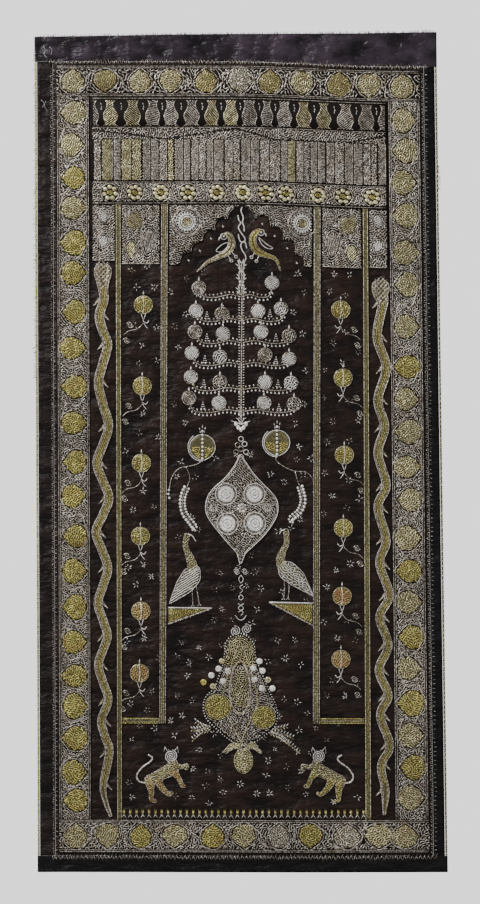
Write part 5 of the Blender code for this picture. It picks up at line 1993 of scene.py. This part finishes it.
@dataclass
class Stitchery:
    """What is sewn straight on the ground: stars, herringbone, chains and the row of forked stitches."""

    spacing: float = 42.0

    def build(self) -> None:
        """Models the stitches."""
        self.stars()
        self.herringbone()
        self.chains()
        self.lattice()

    def stars(self) -> None:
        """Small stars scattered over the open ground."""
        work = Work(hung=True)
        rng = np.random.default_rng(21)
        taken = [(-87, 945, 40), (85, 939, 40), (2, 1095, 96), (0, 1520, 100), (-110, 1230, 62),
                 (110, 1220, 62),
                 (-185, 1690, 70), (230, 1690, 70), (4, 1670, 40), (2, 1300, 24), (-120, 1345, 40),
                 (120, 1340, 40),
                 (0, 470, 95), (5, 720, 128), (5, 830, 128), (5, 620, 100), (-150, 1080, 26),
                 (135, 1070, 26)]
        taken += [(x, d + 10, 40) for x, d in seen(*Pomegranates.left, *Pomegranates.right)]
        spots = []
        for low, high, top, bottom in ((-160, 165, 560, 1775), (-268, -184, 545, 1560),
                                       (192, 276, 555, 1560),
                                       (-268, 275, 1590, 1765)):
            for d in np.arange(top, bottom, self.spacing):
                for x in np.arange(low + 8, high, self.spacing):
                    shift = self.spacing / 2 if int(d / self.spacing) % 2 else 0
                    at = (x + rng.uniform(-12, 12) + shift, d + rng.uniform(-12, 12))
                    clear = all(math.dist(at, (a, b)) > r for a, b, r in taken)
                    if low < at[0] < high and clear and all(math.dist(at, s) > 28 for s in spots):
                        spots.append(at)
        for at in spots:
            arms = int(rng.integers(4, 7))
            kind = Finish.WHITE if rng.random() < 0.6 else Finish.SILVER
            angle = rng.uniform(0,
                                np.pi) + 2 * np.pi * (np.arange(arms) + rng.uniform(-0.2, 0.2, arms)) / arms
            way = np.column_stack((np.cos(angle), np.sin(angle)))
            size = rng.uniform(6.0, 12.5, (arms, 1))
            work.stitches(np.array(at) + way * rng.uniform(0.0, 2.4), np.array(at) + way * size, 2.0, 1.5,
                          1.1, kind)
        work.piece("star_stitches", "silver_thread")

    def herringbone(self) -> None:
        """The crossed stitches that run round outside the bands."""
        work = Work()
        rng = np.random.default_rng(12)
        pitch = 10.3
        for x0, x1 in ((-438.0, -424.5), (414.0, 431.0)):
            depth = np.arange(78.0, 1884.0, pitch)
            uneven = rng.uniform(-1.1, 1.1, (len(depth), 2))
            joint = level_with((x0 + x1) / 2, depth + pitch / 2) + uneven
            for start in (depth, depth + pitch):
                work.stitches(level_with(x0, start) + uneven[::-1], joint, 1.8, 1.4, ON_GROUND,
                              Finish.SILVER)
            work.stitches(joint, joint + ((x1 - x0) / 2, 0.0) + uneven[::-1] * 0.6, 1.8, 1.4, ON_GROUND,
                          Finish.SILVER)
        across = np.arange(-436.0, 430.0, pitch * 0.86)
        uneven = rng.uniform(-1.2, 1.2, (len(across), 2))
        for lean, start, end, width in ((-0.5 * pitch, 57.0, 73.0, 1.7), (0.5 * pitch, 57.0, 73.0, 1.7),
                                        (6.5, 1900.0, 1883.0, 1.8), (-3.5, 1900.0, 1888.0, 1.8)):
            roots = np.column_stack((across, np.full(len(across), start))) + uneven
            tips = np.column_stack((across + lean, np.full(len(across), end))) + uneven[::-1]
            work.stitches(roots, tips, width, 1.4, ON_GROUND, Finish.SILVER)
        work.piece("herringbone_stitches", "silver_thread")

    def chains(self) -> None:
        """The chain under the arch, the knot over the medallion and the twisted chain below it."""
        work = Work(hung=True)
        strands = (
            ((238, 216), (239, 220.5), (240.8, 223.2), (238.5, 227), (239.9, 231.3), (244.3, 237.5),
             (245, 241),
             (242, 243), (240.8, 246.4), (242.5, 251), (245.4, 255.4), (245.6, 260), (242.5, 263.4),
             (239, 260.7)),
            ((242.1, 207), (241.2, 211.6), (243.4, 218), (242.5, 222.3), (243.9, 226.8), (244.3, 231)),
            ((238.5, 235), (239, 238.4), (240.8, 242), (245.2, 243), (246.6, 248.2)))
        for strand in strands:
            work.beads(curve(seen(*strand), 3.1), 1.9, 2.0, 1.2, Finish.WHITE)
        for column, row in ((236, 424), (238.4, 427.6), (241, 429.4), (243.6, 427.6), (246, 424)):
            work.dome(Round(*seen((column, row))[0], 4.6, 5.8), LAID, 2.4, Finish.WHITE, 12, 3)
        for tip in ((231.5, 421), (236, 418), (246, 418), (250.5, 421)):
            leaf = curve(seen((241, 424.5), ((tip[0] + 241) / 2, tip[1] + 1.6), tip), 3.0)
            work.cord(leaf, np.linspace(3.4, 1.4, len(leaf)), 2.0, LAID, Finish.WHITE)
        for k, at in enumerate(((241, 439), (237.6, 445), (244.6, 444), (236, 452), (246, 452), (241, 449),
                                (241, 457))):
            work.cord(Round(*seen(at)[0], 5.6, 5.6).outline(12), 2.4, 1.9, 1.3,
                      Finish.SILVER if k % 2 else Finish.WHITE,
                      True)
        for column, row, reach, gap in ((236.7, 571.5, 7.0, 3.8), (244.8, 571.5, 7.0, 3.8),
                                        (235.6, 631, 11.4, 4.7),
                                        (246.5, 629, 11.4, 4.7)):
            x, d = seen((column, row))[0]
            work.maze(around(x, d, reach + 2), coil(x, d, gap),
                      lambda a, b, x=x, d=d, r=reach: np.hypot(a - x, b - d) < r, 1.3, Finish.WHITE, 1.5,
                      2.0, 1.7)
        links = (
            ((241, 575), (243.3, 579), (241, 583), (238.8, 579), (241, 575)),
            ((243, 584.5), (239.6, 587), (242.6, 590.2), (239.8, 593.5)),
            ((241, 594.5), (243.3, 597), (241, 600), (238.8, 597), (241, 594.5)),
            ((238, 603.5), (243.6, 608), (238.6, 612)),
            ((243.8, 603.5), (238.2, 608), (243.2, 612), (241, 615.5)),
            ((235.3, 615.2), (237.8, 618.6), (240.8, 620), (243.9, 618.6), (246.3, 615.2)))
        for link in links:
            work.cord(curve(seen(*link), 2.5), 1.9, 1.7, 1.3, Finish.WHITE)
        work.piece("chain_stitches", "silver_thread")

    def lattice(self) -> None:
        """The row of forked stitches over the bottom band."""
        work = Work(hung=True)
        for px in np.arange(124, 364, 6.3):
            x, top = seen((px, 808))[0]
            low = top + 25
            work.stitches(((x - 7.0, low), (x + 7.0, low)), ((x + 3.0, top + 10), (x - 3.0, top + 10)), 1.8,
                          1.6, 1.2,
                          Finish.WHITE)
            work.stitches(((x - 1.7, top), (x + 1.7, top + 1)), ((x - 1.2, top + 19), (x + 1.2, top + 18)),
                          2.6, 1.7, 1.4,
                          Finish.GOLD)
            work.stitches(((x, top + 16),), ((x, top + 3),), 1.6, 1.3, 2.6, Finish.STRAW)
        work.piece("forked_stitches", "gold_thread")


@dataclass
class Frays:
    """Loose fibres along the raw top edge and the sides, and stray threads on the plain strips."""

    threads: tuple[tuple[tuple[float, float], ...], ...] = (
        ((43, 46), (45.5, 50), (44, 54), (47, 58)), ((49.5, 47), (52, 50), (51, 55)),
        ((41, 100), (44, 103), (42.6, 108)),
        ((46, 101), (44.6, 106), (47.6, 112)))
    tufts: tuple[tuple[float, float, float, int, int, Finish], ...] = (
        (36.2, 50, 380, 130, -1, Finish.FIBRE), (36.2, 50, 380, 90, -1, Finish.SOOT),
        (436.2, 165, 190, 60, 1, Finish.BRAID))
    top_fibres: int = 620

    def fibre(self, work: Work, start: Places, reach: Places, rng: np.random.Generator,
              kind: Finish) -> None:
        """One bent fibre."""
        path = np.array((start, start + reach * 0.5 + (rng.uniform(-1, 1), rng.uniform(-1, 1)),
                         start + reach))
        work.cord(path, np.array((1.0, 0.8, 0.4)), 0.5, 1.4, kind)

    def build(self) -> None:
        """Models the fibres."""
        rng = np.random.default_rng(3)
        work = Work(hung=True)
        for _ in range(self.top_fibres):
            x = rng.uniform(-470, 452)
            start = np.array((x, float(np.interp(x, HANG.top_at, HANG.top_by)) + 1.0))
            self.fibre(work, start, np.array((rng.uniform(-3, 3), -rng.uniform(2.0, 8.0))), rng,
                       Finish.FIBRE if rng.random() < 0.4 else Finish.SOOT)
        for column, low, high, count, way, kind in self.tufts:
            for _ in range(count):
                start = seen((column, rng.uniform(low, high)))[0]
                self.fibre(work, start, np.array((way * rng.uniform(3.0, 11.0), rng.uniform(-4, 7))), rng,
                           kind)
        for thread in self.threads:
            work.cord(curve(seen(*thread), 3.0), 0.9, 0.8, 2.2, Finish.FIBRE)
        work.piece("top_fray", "border_satin")


@dataclass
class Studio:
    """The camera, the lights and the floor."""

    distance: float = 6.0
    lens_frame: float = 24.0
    floor_level: float = -2.12
    shown: float = 1.62
    given: float = 0.36
    lights: tuple[tuple[str, tuple[float, float, float], float, float], ...] = (
        ("key", (-2.3, -2.2, 1.6), 0.9, 232.0), ("fill", (2.4, -3.2, -0.6), 2.0, 40.0))

    def build(self) -> None:
        """Sets up the studio."""
        width, height = FRAME_PIXELS
        centre_x = (width / 2 - MIDDLE_PIXEL) * PIXEL * MM
        centre_z = -(height / 2 - TOP_PIXEL) * PIXEL * MM
        data = bpy.data.cameras.new("front_camera")
        data.sensor_fit = "VERTICAL"
        data.sensor_height = self.lens_frame
        data.lens = self.lens_frame * self.distance / (height * PIXEL * MM)
        camera = bpy.data.objects.new("front_camera", data)
        camera.location = (centre_x, -self.distance, centre_z)
        camera.rotation_euler = (math.pi / 2, 0.0, 0.0)
        bpy.context.scene.collection.objects.link(camera)
        bpy.context.scene.camera = camera
        for name, place, size, power in self.lights:
            self.light(name, place, size, power)
        self.floor()
        self.world()

    def light(self, name: str, place: tuple[float, float, float], size: float, power: float) -> None:
        """A soft square light aimed at the middle of the hanging."""
        data = bpy.data.lights.new(name, "AREA")
        data.shape = "SQUARE"
        data.size = size
        data.energy = power
        made = bpy.data.objects.new(name, data)
        made.location = place
        from_middle = np.array(place) - np.array((0.0, 0.0, -0.96))
        flat = math.hypot(from_middle[0], from_middle[1])
        made.rotation_euler = (math.atan2(flat, from_middle[2]), 0.0,
                               math.atan2(from_middle[0], -from_middle[1]))
        bpy.context.scene.collection.objects.link(made)

    def floor(self) -> None:
        """A plain pale floor below the view."""
        bpy.ops.object.select_all(action="DESELECT")
        bpy.ops.mesh.primitive_plane_add(size=1.0)
        floor = bpy.context.object
        floor.name = "studio_floor"
        corners = np.array([(x, y, self.floor_level) for y in (-3.0, 0.5) for x in (-2.5, 2.5)])
        floor.data.vertices.foreach_set("co", corners.ravel())
        floor.data.update()
        material = bpy.data.materials.new("studio_floor")
        material.use_nodes = True
        shader = material.node_tree.nodes["Principled BSDF"]
        shader.inputs["Base Color"].default_value = (0.6, 0.6, 0.6, 1.0)
        shader.inputs["Roughness"].default_value = 0.8
        floor.data.materials.append(material)
        floor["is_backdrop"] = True

    def world(self) -> None:
        """A plain pale surround that lights the hanging softly."""
        world = bpy.data.worlds.new("studio")
        world.use_nodes = True
        bpy.context.scene.world = world
        n = Nodes(world.node_tree)
        path = n.add("ShaderNodeLightPath")
        shown = n.add("ShaderNodeBackground", Color=(1.0, 1.0, 1.0, 1.0), Strength=self.shown)
        given = n.add("ShaderNodeBackground", Color=(0.94, 0.95, 1.0, 1.0), Strength=self.given)
        mixed = n.add("ShaderNodeMixShader")
        n.feed(path.outputs["Is Camera Ray"], mixed.inputs[0])
        n.feed(given.outputs[0], mixed.inputs[1])
        n.feed(shown.outputs[0], mixed.inputs[2])
        out = n.add("ShaderNodeOutputWorld")
        n.feed(mixed.outputs[0], out.inputs["Surface"])


def main() -> None:
    """Builds every sub-assembly in order."""
    logging.basicConfig(level=logging.INFO, format="%(message)s")
    for part in (GroundCloth(), Braids(), LeafBands(), Friezes(), ArchPanels(), Pillars(), Serpents(),
                 Pomegranates(),
                 FruitTree(), Medallion(), GreatPomegranates(), Bouquet(), Creatures(), Stitchery(), Frays(),
                 Studio()):
        part.build()
        LOG.info("%s is built", type(part).__name__)
    total = sum(sum(len(p.vertices) - 2 for p in o.data.polygons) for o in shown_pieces())
    LOG.info("%d triangles in all", total)


if __name__ == "__main__":
    main()
